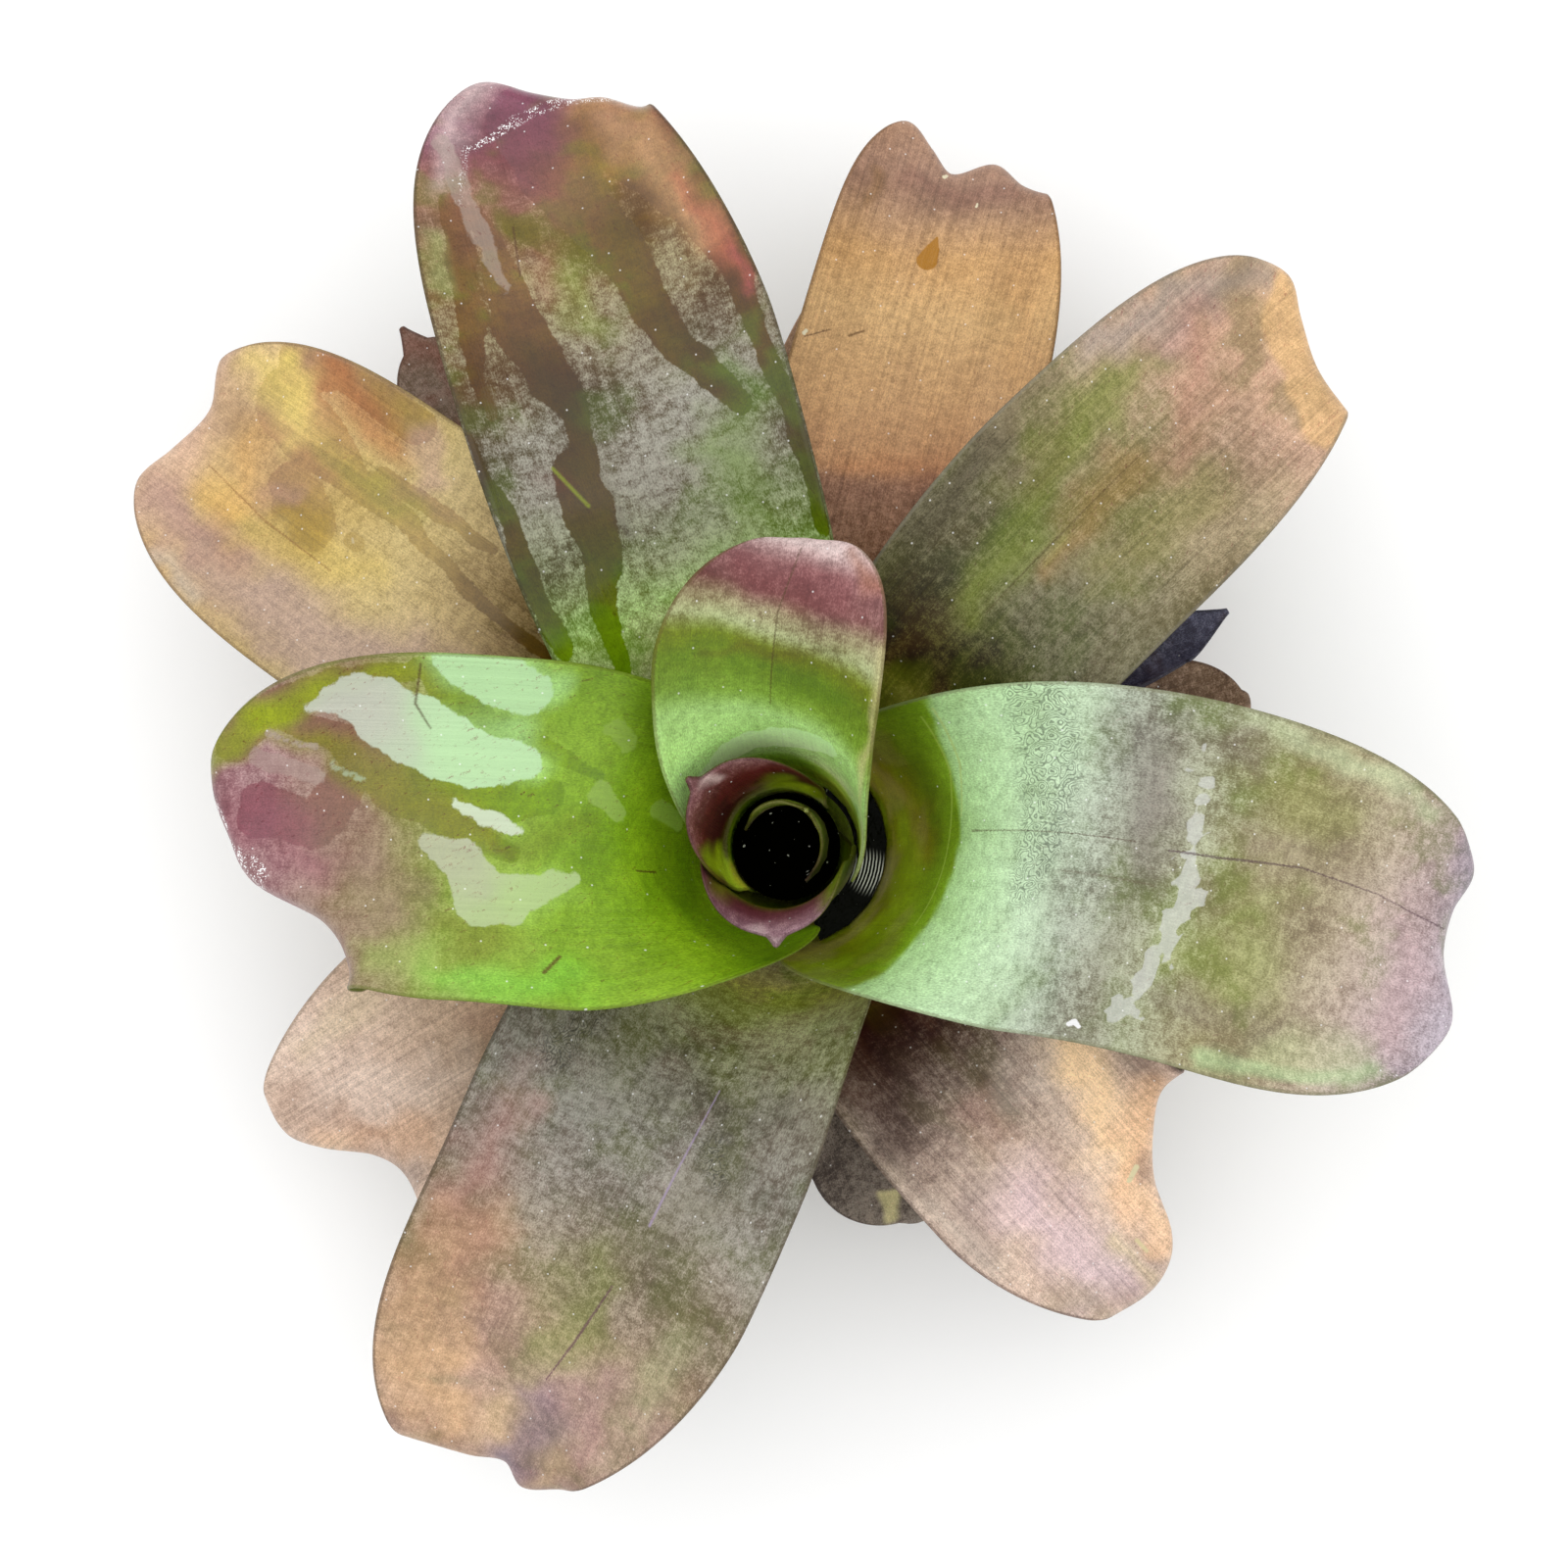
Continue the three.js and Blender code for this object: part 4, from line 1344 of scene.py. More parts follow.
    def _marked(self, shade: Signal) -> Signal:
        """Lays the crisp patches, the lines and the scratches on a colour.

        Args:
            shade: the colour below them.

        Returns:
            The colour with the marks.
        """
        if self.skin.dry:
            ragged = self.attribute("bloom_gap") + self.crumbs * self.DRY_RAGGED
            dry = ragged.step(self.DRY_FADE, -self.DRY_FADE)
            bloom = self.scaled(self.attribute("bloom", "Color"), self.fibres * self.DRY_FIBRES + 1)
            shade = self.mix(shade, bloom, dry * self.attribute("bloom", "Alpha"))
        for line in self.skin.lines:
            ragged = self.distance(line.trail) + self.grains * self.LINE_RAGGED
            mark = ragged.step(line.soft / 2, -line.soft / 2)
            shade = self.mix(shade, pigment(line.colour), mark * line.strength)
        return self._grazed(shade) if self.skin.grazed else shade

    def _specked(self, shade: Signal, shown: Signal) -> Signal:
        """Lays the dark specks on a colour.

        Args:
            shade: the colour below them.
            shown: how much bloom there is.

        Returns:
            The colour with the specks.
        """
        at = self.vector("ADD", self.shifted, self.scaled(self.SPECK_SHIFT, self.crumbs))
        field = self.noise(at, self.SPECK_SIZE, 2, 0.6) + self.crumbs * self.SPECK_CRUMBS
        specks = field.step(*self.SPECK_STEP) * (1 - shown * self.SPECK_HIDDEN)
        return self.mix(shade, self.vector("MULTIPLY", shade, self.SPECK_SHADE), specks * self.skin.specks)

    def _grazed(self, shade: Signal) -> Signal:
        """Scratches a colour with fine curls that show the flesh through the bloom.

        Args:
            shade: the colour that is scratched.

        Returns:
            The colour with the scratches.
        """
        rings = self.math("SINE", self.noise(self.shifted, self.RING_SIZE, 1, 0.4) * self.RINGS)
        scratch = (rings + self.crumbs * self.SCRATCH_CRUMBS).step(*self.SCRATCH_STEP)
        scratch = scratch * self.attribute("grazed_gap").step(*self.SCRATCH_FADE)
        return self.mix(shade, self.scaled(shade, self.SCRATCH_SHADE), scratch * self.SCRATCH_COVER)

    def _sparkles(self) -> Signal:
        """Spreads tiny painted highlights that lie far apart, and the painted wet glints.

        Returns:
            How white each place is.
        """
        cells = self.node("ShaderNodeTexVoronoi", {"voronoi_dimensions": "2D"}, {
            "Vector": self.shifted, "Scale": 1 / self.POINTS_APART})
        points = Signal(self, cells.outputs["Distance"]).step(*self.POINT_STEP) * self.POINT_COVER
        if not self.skin.glints:
            return points
        ragged = (self.crumbs + self.grains * self.GLINT_GRAINS).step(*self.GLINT_STEP)
        return (points + ragged * self.attribute("glint_gap").step(*self.GLINT_FADE)).held()


# Each leaf's skin, by the leaf's name.
SKINS: dict[str, Skin] = {}

# Low in the cup the flesh is near-black: painted shade of the deep heart.
SKINS["leaf_heart_inner"] = Skin(
    flesh=((-14, "080A02"), (2, "1A2006"), (8, "36440C"), (13, "56641A"), (17, "6E7C26"), (20, "8A924C")),
    bloom_and_sheen=((0, "8A9A50", 0), (20, "9CA468", 0.15)),
    under="8A9A40", rim="5A3A1C", lit=((-14, 0.1), (2, 0.16), (10, 0.3), (20, 0.5)),
)

SKINS["leaf_heart_middle"] = Skin(
    flesh=((-24, "1E2A02"), (-10, "34420A"), (4, "34400A"), (15, "2E3008"), (23, "2C160C"), (34, "3C0C0C"),
           (41, "501418"), (47, "66323A"), (55, "7A4C54")),
    # Towards the hood's tip the pale bloom is partly a painted sheen.
    bloom_and_sheen=((20, "6A4A40", 0), (38, "9A7068", 0.04), (46, "C8A4A0", 0.22), (55, "B0908E", 0.25)),
    lit=((-24, 0.05), (0, 0.08), (14, 0.16), (24, 0.26), (40, 0.7), (55, 1)),
    crumbs=((0, 0.2), (40, 0.3)), under="6E7E14", drift=5, mottle=0.1, rim="4A2C18", specks=0.2, patchy=0.15,
    tints=(
        Tint("72841E", ((-20, 21, 5), (10, 22, 6), (34, 18, 5)), 6, 0.85),
        Tint("525E16", ((-20, -20, 5), (10, -20, 6), (28, -18, 5)), 6, 0.85),
        # A painted sheen near the hood's tip.
        Tint("D8C0BC", ((44, -5, 1), (49, -3, 1.6)), 3, 0.7),
    ),
)

SKINS["leaf_heart_outer"] = Skin(
    flesh=((-28, "3C4206"), (-6, "4C5A08"), (12, "5E6C10"), (21, "6A6628"), (29, "6A3C40"), (38, "704050"),
           (44, "784862"), (51, "845668")),
    # Towards the hood's tip the pale pink bloom is partly a painted sheen.
    bloom_and_sheen=((24, "8A6A60", 0), (34, "A07C80", 0.15), (43, "CFACB2", 0.4), (51, "B892A0", 0.35)),
    crumbs=((0, 0.2), (40, 0.3)), under="6C7C10", drift=4, mottle=0.1, rim="4A2A20", specks=0.2,
    patchy=0.15, lit=((-28, 0.3), (0, 0.34), (22, 0.6), (40, 0.9), (50, 1.1)),
    tints=(
        Tint("687A08", ((-20, 24, 5), (10, 25, 6), (34, 20, 6)), 6, 0.85),
        # A painted sheen near the hood's tip.
        Tint("E0C4C8", ((42, -6, 1.2), (47, -3, 1.8), (48, 3, 1.2)), 3, 0.6),
        Tint("7A7C2A", ((-20, -22, 5), (10, -23, 6), (30, -20, 5)), 6, 0.85),
    ),
)

SKINS["leaf_young_back"] = Skin(
    flesh=((-50, "3A4404"), (-20, "5C760A"), (0, "6A8524"), (12, "7C9C38"), (27, "6A8A10"), (36, "638006"),
           (48, "607A08"), (55, "6C7422"), (62, "7A6240"), (69, "6F4440"), (78, "7A4C4E"), (88, "9A7674"),
           (96, "9A7374")),
    # The pale mint bloom by the sheath and the pale lilac towards the tip are partly bloom, partly painted
    # reflections of the light.
    bloom_and_sheen=((-20, "7A9634", 0.2), (4, "8CB248", 0.35), (10, "A8D088", 0.8), (32, "A8CE84", 0.8),
          (39, "90B454", 0.35), (45, "83A245", 0.12), (54, "7C9228", 0.1), (59, "B9C494", 0.7),
          (65, "B4B08C", 0.5), (70, "A88480", 0.2), (79, "BB9490", 0.3), (86, "E5D2CE", 0.75),
          (91, "DCC8C6", 0.65), (96, "CDACAB", 0.5)),
    lit=((-30, 0.11), (-10, 0.14), (12, 0.42), (45, 0.76), (75, 0.85)),
    crumbs=((0, 0.12), (46, 0.15), (56, 0.5), (70, 0.45), (90, 0.3)), under="7E8C3C", tilt=0.1, drift=4,
    mottle=0.05, patchy=0.15,
    tints=(
        Tint("7E3E44", ((73, -22, 5), (75, 8, 4)), 8, 0.4),
        Tint("5E5420", ((57, -24, 0.8), (55, -4, 1.2), (52, 20, 0.8)), 4, 0.55),
        Tint("B8AE80", ((20, -38, 1.5), (60, -36, 1.5)), 3, 0.7),
        Tint("A06A50", ((74, -31, 1.5), (84, -22, 1.5)), 3, 0.6),
        Tint("262A06", ((-30, -34, 4), (6, -33, 4)), 8, 0.6),
    ),
    # A crisp mint arc: partly dry bloom, partly a painted reflection.
    dry=(Tint("B8DEA0", ((12, 22, 3), (16, 8, 5), (20, -6, 6), (26, -20, 4)), 1.2, 0.6),),
    lines=(Tint("5A4A2A", ((36, -2, 0.2), (66, -2, 0.25), (84, -6, 0.2)), 0.5, 0.6),),
)

SKINS["leaf_left"] = Skin(
    flesh=((-50, "3A4404"), (-20, "567004"), (0, "6C9404"), (30, "7EA60A"), (52, "84A814"), (70, "8AA42C"),
           (88, "908E44"), (104, "947258"), (122, "98646A"), (145, "A06E74"), (165, "A9787E")),
    bloom_and_sheen=((-20, "7C9A1A", 0.3), (20, "9CC038", 0.4), (50, "A4CC54", 0.4), (70, "AEC070", 0.4),
          (90, "B2AC80", 0.5), (112, "B8A092", 0.5), (128, "C4A8A4", 0.4), (165, "D3B8B8", 0.45)),
    crumbs=((60, 0.12), (85, 0.55)), under="86924C", mottle=0.05, specks=1, rim="6E7A1E", roughness=0.36,
    patchy=0.25, lit=((-30, 0.22), (-10, 0.3), (12, 0.8), (40, 1)),
    wet=(
        ((36, -16, 1.5), (46, -20, 2.4), (56, -25, 3.2), (70, -31, 3.4), (80, -38, 4), (86, -46, 3)),
        ((52, -9, 6), (70, -5, 7), (90, -8, 8), (108, -22, 5.5), (126, -28, 3)),
        ((60, 8, 3), (76, 2, 4), (96, -8, 5)),
        ((88, -44, 3), (108, -40, 4), (128, -33, 5), (145, -22, 6)),
        ((110, -8, 7), (118, 2, 7), (135, -2, 8)),
    ),
    dry=(
        Tint("CCF2BC", ((58, -19, 5), (68, -18, 8), (79, -22, 10), (88, -27, 10)), 0.8, 0.92),
        Tint("D6DCCC", ((90, -25, 9), (97, -31, 10), (103, -35, 8), (112, -34, 4),
                        (119, -32, 1.5)), 0.9, 0.82),
        Tint("C6EEB4", ((59, -39, 7), (68, -43, 8), (76, -48, 7)), 0.8, 0.9),
        Tint("C4DC9C", ((42, 14, 1.5), (54, 19, 5), (62, 22, 8), (68, 24, 7)), 0.8, 0.85),
        Tint("CCD0B4", ((68, 20, 8), (74, 10, 6), (84, 6, 3)), 1.2, 0.75),
        Tint("DCEACC", ((58, 1, 1.4), (67, -1, 2.4), (76, -5, 1.2)), 0.6, 0.95),
        Tint("A8CC5C", ((0, -5, 2.4), (13, -8, 3.2)), 1, 0.7),
        Tint("AACA6C", ((28, -6, 3), (35, -11, 4)), 1, 0.6),
        Tint("A2C25C", ((32, -26, 2.6), (36, -32, 2.4)), 1.6, 0.6),
        Tint("AEBE98", ((103, -12, 0.9), (112, -16, 1.1)), 0.8, 0.8),
        Tint("B89E96", ((117, -12, 2), (130, -15, 3), (137, -18, 2.6)), 1, 0.6),
        Tint("BCAA9C", ((118, -20, 0.8), (132, -25, 1.1)), 0.8, 0.7),
    ),
    tints=(
        Tint("B4E48A", ((56, -20, 4), (64, -24, 9), (78, -26, 8)), 7, 0.9),
        Tint("B2E28C", ((54, -40, 6), (66, -44, 8), (78, -47, 6)), 7, 0.9),
        Tint("A4CC62", ((44, 16, 4), (56, 21, 8)), 8, 0.6),
        Tint("9A5A68", ((116, 13, 6), (130, 4, 8), (148, 0, 8)), 12, 0.6, 0.9),
        Tint("8C8A34", ((66, 3, 4), (90, -6, 5), (110, -18, 5), (126, -24, 3)), 6, 0.75, 0.8),
        Tint("9CA830", ((90, -44, 2), (115, -38, 4), (140, -26, 5), (152, -16, 4)), 5, 0.85, 0.7),
        Tint("987A6C", ((92, 26, 10), (104, 10, 10)), 14, 0.6),
        Tint("9CB05A", ((84, 42, 5), (98, 40, 4)), 7, 0.6),
        Tint("8CD04C", ((48, 46, 6), (62, 48, 7), (80, 48, 4)), 9, 0.75),
        Tint("6E6420", ((40, 0, 4), (56, 6, 5)), 8, 0.35),
        Tint("7E8224", ((66, 34, 7), (76, 30, 5)), 7, 0.6),
        Tint("7A5030", ((60, 8, 1.2), (64, 6, 1)), 2, 0.4),
    ),
    glints=(
        ((134, 17, 2.4), (142, 13, 4), (150, 8, 3.4)),
        ((136, 21, 1.4), (150, 18, 1.4)),
        ((148, 2, 1.4), (152, -6, 1.2)),
    ),
    lines=(
        Tint("5E4A22", ((84, -27, 0.2), (88, -34, 0.35), (86, -46, 0.3)), 0.9),
        Tint("6A4A22", ((48, 39, 0.5), (52, 44, 0.5)), 0.8),
        Tint("5A4420", ((14, 11.5, 0.4), (22, 11.5, 0.3)), 0.6),
    ),
)

SKINS["leaf_right"] = Skin(
    flesh=((-50, "2A2A02"), (-20, "484C04"), (0, "64680A"), (20, "6C800C"), (30, "7CA01C"), (50, "9AB878"),
           (65, "98A886"), (80, "80806A"), (100, "828458"), (120, "8A8058"), (140, "948866"),
           (158, "A08C78"), (172, "AA9490"), (188, "9C909C"), (206, "A89AA4")),
    # From 31 mm the pale mint bloom is partly a painted reflection of the light.
    bloom_and_sheen=((-20, "6D711C", 0.2), (20, "86A43C", 0.15), (30, "98C04C", 0.2), (31.5, "BEE8A4", 0.9),
          (46, "CCF0BC", 0.95), (60, "D8F2CE", 0.9), (74, "CCD8C4", 0.68), (90, "B9BBA8", 0.55),
          (105, "BEC4A8", 0.5), (125, "B0AC88", 0.42), (145, "BCB494", 0.45), (160, "CCBCAC", 0.5),
          (176, "D3BFC0", 0.55), (190, "D2C6D0", 0.55), (206, "C8BCCC", 0.5)),
    lit=((-30, 0.13), (-10, 0.18), (10, 0.5), (22, 0.9), (40, 0.95), (85, 0.95), (105, 0.84), (150, 0.84),
         (170, 0.92)),
    crumbs=((30, 0.05), (34, 0.06), (55, 0.2), (75, 0.7)), under="8C9A5A", tilt=0.12, drift=5, mottle=0.3,
    blush="80685C", clouds=0.4, fresh="728A2A", patchy=0.25, specks=0.5, rim="8A8A6A", roughness=0.4,
    grain=0.1,
    tints=(
        Tint("B4C48C", ((140, -50, 6), (165, -44, 6)), 10, 0.4),
        Tint("B2CC98", ((120, -58, 2), (150, -54, 2.5), (172, -46, 2)), 3, 0.7),
        Tint("C6D2A8", ((110, 42, 2), (150, 39, 2.5), (166, 34, 3)), 4, 0.6),
        Tint("84743C", ((-8, 22, 6), (8, 14, 7), (16, -4, 5)), 10, 0.6),
        Tint("7C706C", ((82, 30, 7), (90, 12, 8), (92, -6, 6)), 10, 0.6),
        Tint("8E9A50", ((108, -26, 8), (130, -30, 8), (124, -10, 6)), 12, 0.5),
        Tint("A0A45C", ((118, 28, 7), (140, 22, 7)), 12, 0.45),
        Tint("8E7C6A", ((120, 8, 5), (150, 8, 6)), 10, 0.5),
        Tint("7E6A64", ((108, 36, 5), (116, 30, 3)), 7, 0.4),
        Tint("BFA2A4", ((168, 4, 5), (178, -12, 7), (172, -30, 6)), 10, 0.5),
        Tint("8E8494", ((186, 24, 5), (190, 8, 6)), 7, 0.5),
        Tint("746660", ((108, -44, 4), (135, -42, 4)), 8, 0.35),
    ),
    lines=(
        Tint("C6DC86", ((35, 38, 0.3), (36, 20, 0.35), (33, 4, 0.2)), 0.5, 0.7),
        Tint("B4CC60", ((31, 36, 0.25), (32, 18, 0.3), (27, -4, 0.2), (22, -30, 0.2)), 0.5, 0.6),
        Tint("5A4030", ((37, -0.5, 0.35), (44, -0.5, 0.2), (88, 0.5, 0.2)), 0.5, 0.6),
        Tint("5E4650", ((98, 0, 0.3), (112, 1.5, 0.4), (136, 6, 0.25), (160, 6, 0.2),
                        (184, 2, 0.2)), 0.6, 0.7),
        Tint("6A5A48", ((68, -11, 0.3), (96, -11, 0.3)), 1, 0.5),
        # A white painted glint.
        Tint("FFFFFF", ((79, -57, 0.8), (80.5, -56, 0.9), (82, -57.3, 0.7)), 0.4, 1),
    ),
    dry=(
        Tint("D4D6D0", ((100, 30, 0.6), (103, 18, 1.4), (105, -8, 2.4), (103, -28, 3.4), (97, -44, 3),
                        (92, -54, 2.4)), 7, 0.6),
    ),
    grazed=(((58, 40, 8), (62, 20, 10), (60, -4, 8), (56, -20, 5)),),
)

SKINS["leaf_back_left"] = Skin(
    flesh=((-50, "4A5A14"), (0, "5E8A10"), (30, "5E8410"), (50, "5E7818"), (66, "5A6022"), (85, "584A2C"),
           (105, "5A4E2E"), (125, "644C2E"), (145, "765A36"), (165, "80623C"), (185, "88604A"),
           (200, "905C60"), (215, "865468"), (240, "8E6478")),
    bloom_and_sheen=((-50, "9FB48A", 0.2), (20, "B0D28C", 0.55), (50, "A8C484", 0.5), (66, "A8B08E", 0.5),
          (85, "AAA89A", 0.5), (105, "B0AEA2", 0.5), (125, "ACA792", 0.42), (145, "AEA884", 0.36),
          (165, "B2A282", 0.34), (190, "B8948A", 0.22), (210, "CCA0A0", 0.15), (240, "CFB0AE", 0.3)),
    lit=((0, 0.22), (25, 0.27), (50, 0.42), (72, 0.95), (120, 0.95), (150, 0.86), (200, 0.84)),
    crumbs=((40, 0.5), (65, 0.85), (150, 0.75), (190, 0.4)), under="868C5E", mottle=0.35, blush="5E403A",
    clouds=0.4, fresh="627A22", patchy=0.25, grain=0.14, specks=0.7, rim="4A4030",
    wet=(
        ((119, 39, 2.2), (130, 40, 2.6), (145, 37, 4.5), (165, 35, 5), (188, 32, 4)),
        ((66, 21, 5), (82, 21, 8), (94, 21, 6.5)),
        ((95, 17, 4), (110, 15, 4.5), (124, 19, 7), (142, 24, 8), (168, 24, 4), (184, 27, 3)),
        ((38, 28, 2.6), (56, 26, 4), (72, 21, 6)),
        ((97, -33, 3), (108, -27, 4.5), (120, -20, 5.5), (136, -16, 6.5), (152, -13, 7), (172, -6, 9),
         (192, 0, 12), (212, 2, 15)),
        ((60, -45, 2.6), (90, -47, 3), (116, -44, 3.2), (138, -45, 5), (165, -36, 9), (188, -26, 12),
         (207, -15, 11)),
        ((52, 42, 3), (70, 44, 4), (86, 43, 3.5), (98, 47, 3), (125, 49, 2)),
    ),
    dry=(Tint("B8AA9E", ((155, 24, 1.4), (170, 27, 2.4), (195, 28.5, 2.8), (212, 31, 2.4)), 1.4, 0.4),),
    tints=(
        Tint("8A5060", ((198, 10, 8), (212, 6, 11), (226, 4, 8)), 12, 0.65, 0.7),
        # A painted sheen along the left margin near the tip.
        Tint("D2BEBC", ((196, 34, 2), (222, 24, 4), (232, 12, 4)), 8, 0.6, 0.9),
        Tint("CFA276", ((148, -38, 4), (170, -32, 6), (196, -25, 7), (218, -16, 7)), 9, 0.75, 0.5),
        Tint("D07A60", ((130, -46, 1.5), (144, -43, 2.4), (158, -39, 2), (172, -34, 1.5)), 6, 0.7, 0.4),
        Tint("BC6060", ((126, -47, 1.2), (140, -46, 1.8)), 3, 0.6, 0.4),
        Tint("6A5C2C", ((124, -20, 4), (150, -14, 5), (176, -8, 6)), 8, 0.6, 0.6),
        Tint("54492A", ((84, 20, 5), (108, 14, 4), (132, 22, 5)), 8, 0.5, 0.4),
        Tint("8C5A50", ((188, 0, 8), (176, -6, 8)), 12, 0.4, 0.6),
        Tint("94584E", ((150, 12, 3), (164, 8, 3)), 7, 0.35),
        Tint("A8843A", ((184, -16, 5), (206, -10, 5)), 10, 0.5, 0.6),
        Tint("9CAE6C", ((160, 43, 2.5), (176, 42, 2.5)), 5, 0.5),
        Tint("869440", ((136, 5, 4), (152, 3, 4)), 9, 0.5),
        Tint("6C8A2C", ((70, -28, 8), (88, -20, 7), (96, -38, 6)), 12, 0.55),
        Tint("5E7A1C", ((98, -38, 2), (108, -33, 3)), 6, 0.5, 0.6),
        Tint("4A3638", ((72, 12, 1.5), (80, 13, 1)), 2.5, 0.5),
        Tint("62302E", ((92, 26, 2.5), (96, 30, 1.5)), 4, 0.3),
    ),
    glints=(
        ((207, 22, 1.6), (214, 6, 1.8), (215, -10, 1.6), (209, -22, 1.2)),
        ((188, 30, 0.8), (208, 24, 0.9)),
        ((209, -22, 0.9), (221, -17, 1.1), (236, -4, 0.8)),
    ),
    lines=(
        Tint("93A030", ((84, 20, 0.5), (97, 26.5, 0.5)), 0.9, 0.7),
        Tint("5A3A34", ((158, 19, 0.3), (175, 17, 0.3)), 0.7, 0.6),
    ),
    drops=(Tint("6E5A38", ((116, 39, 1.6), (123, 38, 2.4)), strength=0.4),),
)

SKINS["leaf_back_right"] = Skin(
    flesh=((-50, "160A04"), (10, "26160A"), (26, "36260A"), (44, "3C360E"), (60, "4E4C1E"), (80, "585C2A"),
           (105, "767040"), (125, "90825A"), (145, "AE926E"), (165, "C8A282"), (180, "DEB294"),
           (205, "E6BA92")),
    bloom_and_sheen=((5, "5A4A2A", 0.2), (28, "746A3C", 0.3), (46, "7A784A", 0.4), (65, "8E8A70", 0.5),
          (90, "969078", 0.5), (110, "B2A688", 0.45), (130, "CAB698", 0.45), (148, "E0C2AA", 0.42),
          (168, "ECCAB2", 0.4), (188, "F4D4B2", 0.35), (213, "F6D6AC", 0.25)),
    crumbs=((20, 0.5), (60, 0.75), (130, 0.5), (170, 0.3)), under="8C8A66", mottle=0.3, blush="66483E",
    clouds=0.45, fresh="5E6A22", patchy=0.22, grain=0.42, specks=0.85, rim="8A8474", run=0.6,
    lit=((0, 0.14), (25, 0.2), (45, 0.85), (150, 1), (180, 0.98)),
    tints=(
        Tint("74822E", ((62, 8, 6), (86, 12, 7), (112, 22, 7), (136, 25, 7), (152, 23, 5)), 11, 0.75),
        Tint("4E4636", ((50, 28, 6), (70, 34, 7), (96, 36, 6)), 10, 0.75),
        Tint("6E6048", ((104, 38, 5), (124, 39, 5)), 9, 0.6),
        Tint("B0A094", ((140, 38, 4), (164, 33, 6), (188, 26, 6), (200, 20, 4)), 9, 0.85),
        Tint("C08C78", ((132, -6, 3), (148, 2, 5), (162, 12, 6), (172, 18, 5)), 11, 0.6),
        Tint("AC8684", ((156, 24, 4), (176, 24, 4)), 8, 0.5),
        Tint("AC8650", ((84, -2, 3), (104, 2, 5), (124, 4, 6)), 9, 0.55),
        Tint("A89A78", ((118, -34, 4), (150, -34, 5)), 10, 0.45),
        Tint("8E8850", ((96, -14, 6), (136, -18, 7)), 12, 0.6),
        Tint("F0C48C", ((178, -28, 9), (190, -12, 9), (196, 4, 8), (204, 12, 5)), 2, 0.85),
        Tint("6A443E", ((100, 20, 4), (108, 21, 3)), 9, 0.35),
        Tint("98A048", ((86, 0, 1), (94, 2, 1.2)), 2.5, 0.4),
    ),
    lines=(Tint("5A4A30", ((62, 2.6, 0.2), (130, 4, 0.25)), 0.6, 0.5),),
)

SKINS["leaf_front"] = Skin(
    flesh=((-50, "2A2A06"), (-20, "3C4208"), (0, "565C1A"), (20, "58582E"), (40, "5C5842"), (60, "6C6654"),
           (80, "746E58"), (100, "807658"), (120, "9C8868"), (140, "AA8E7E"), (160, "AE9482"),
           (180, "B09080"), (200, "CDA98C")),
    bloom_and_sheen=((-30, "8A9A5A", 0.3), (0, "8C9448", 0.4), (20, "9AA078", 0.45), (40, "9C9A88", 0.5),
          (60, "A8A69C", 0.52), (80, "B8B2A8", 0.5), (100, "BEB2A0", 0.45), (125, "D2BAA4", 0.45),
          (145, "D4B8A6", 0.5), (165, "D6BCA8", 0.45), (185, "D4B8A8", 0.4), (200, "E1C0A0", 0.35)),
    lit=((-30, 0.12), (-10, 0.16), (18, 0.52), (42, 0.95), (80, 1), (110, 0.95), (170, 0.9)),
    crumbs=((0, 0.6), (40, 0.8), (110, 0.65), (150, 0.4)), under="86876A", mottle=0.3, blush="7A5A54",
    clouds=0.35, fresh="6C7434", patchy=0.2, grain=0.2, specks=0.6, rim="5A4C3E",
    tints=(
        Tint("DCB48A", ((112, -28, 9), (134, -32, 14), (158, -26, 16), (176, -10, 9)), 18, 0.9),
        Tint("D0A294", ((126, -10, 6), (150, -6, 6)), 14, 0.35),
        Tint("B27E76", ((76, -34, 7), (98, -34, 10), (120, -24, 8)), 15, 0.6),
        Tint("B88868", ((108, -40, 4), (130, -42, 3)), 8, 0.4),
        Tint("8E7888", ((156, 14, 8), (174, 14, 8)), 9, 0.65),
        Tint("80788A", ((175, 14, 2), (175, 9, 2)), 4, 0.4),
        Tint("E4C4A0", ((166, 27, 3), (176, 24, 3.5)), 6, 0.7),
        Tint("E2C090", ((160, 2, 4), (170, 4, 4)), 8, 0.5),
        Tint("9A6A70", ((150, 34, 4), (162, 33, 4)), 9, 0.4),
        Tint("8E9850", ((104, 10, 6), (124, 14, 9), (138, 6, 6)), 14, 0.6),
        Tint("6E6A4A", ((64, 34, 8), (90, 20, 8)), 14, 0.4),
        Tint("A07C80", ((132, 30, 6), (150, 24, 7)), 12, 0.45),
        Tint("B48C84", ((60, -34, 3), (70, -28, 3)), 9, 0.35),
        Tint("A8AC80", ((112, 45, 5), (134, 42, 5)), 11, 0.5),
        Tint("8E8666", ((156, -8, 0.6), (161, -16, 1.1), (162, -24, 0.5)), 2.4, 0.6),
        Tint("4A3E38", ((40, 44, 1.5), (46, 30, 1.5), (44, 10, 1.5)), 7, 0.3),
    ),
    lines=(
        Tint("B4A2C0", ((40, 19.5, 0.15), (84, 20, 0.35)), 0.6, 0.8),
        Tint("70485E", ((106, 18, 0.25), (128, 15, 0.45), (144, 12, 0.2)), 0.7, 0.7),
    ),
    grazed=(
        ((30, -24, 6), (52, -30, 7)),
        ((56, 26, 6), (66, 34, 4)),
    ),
)

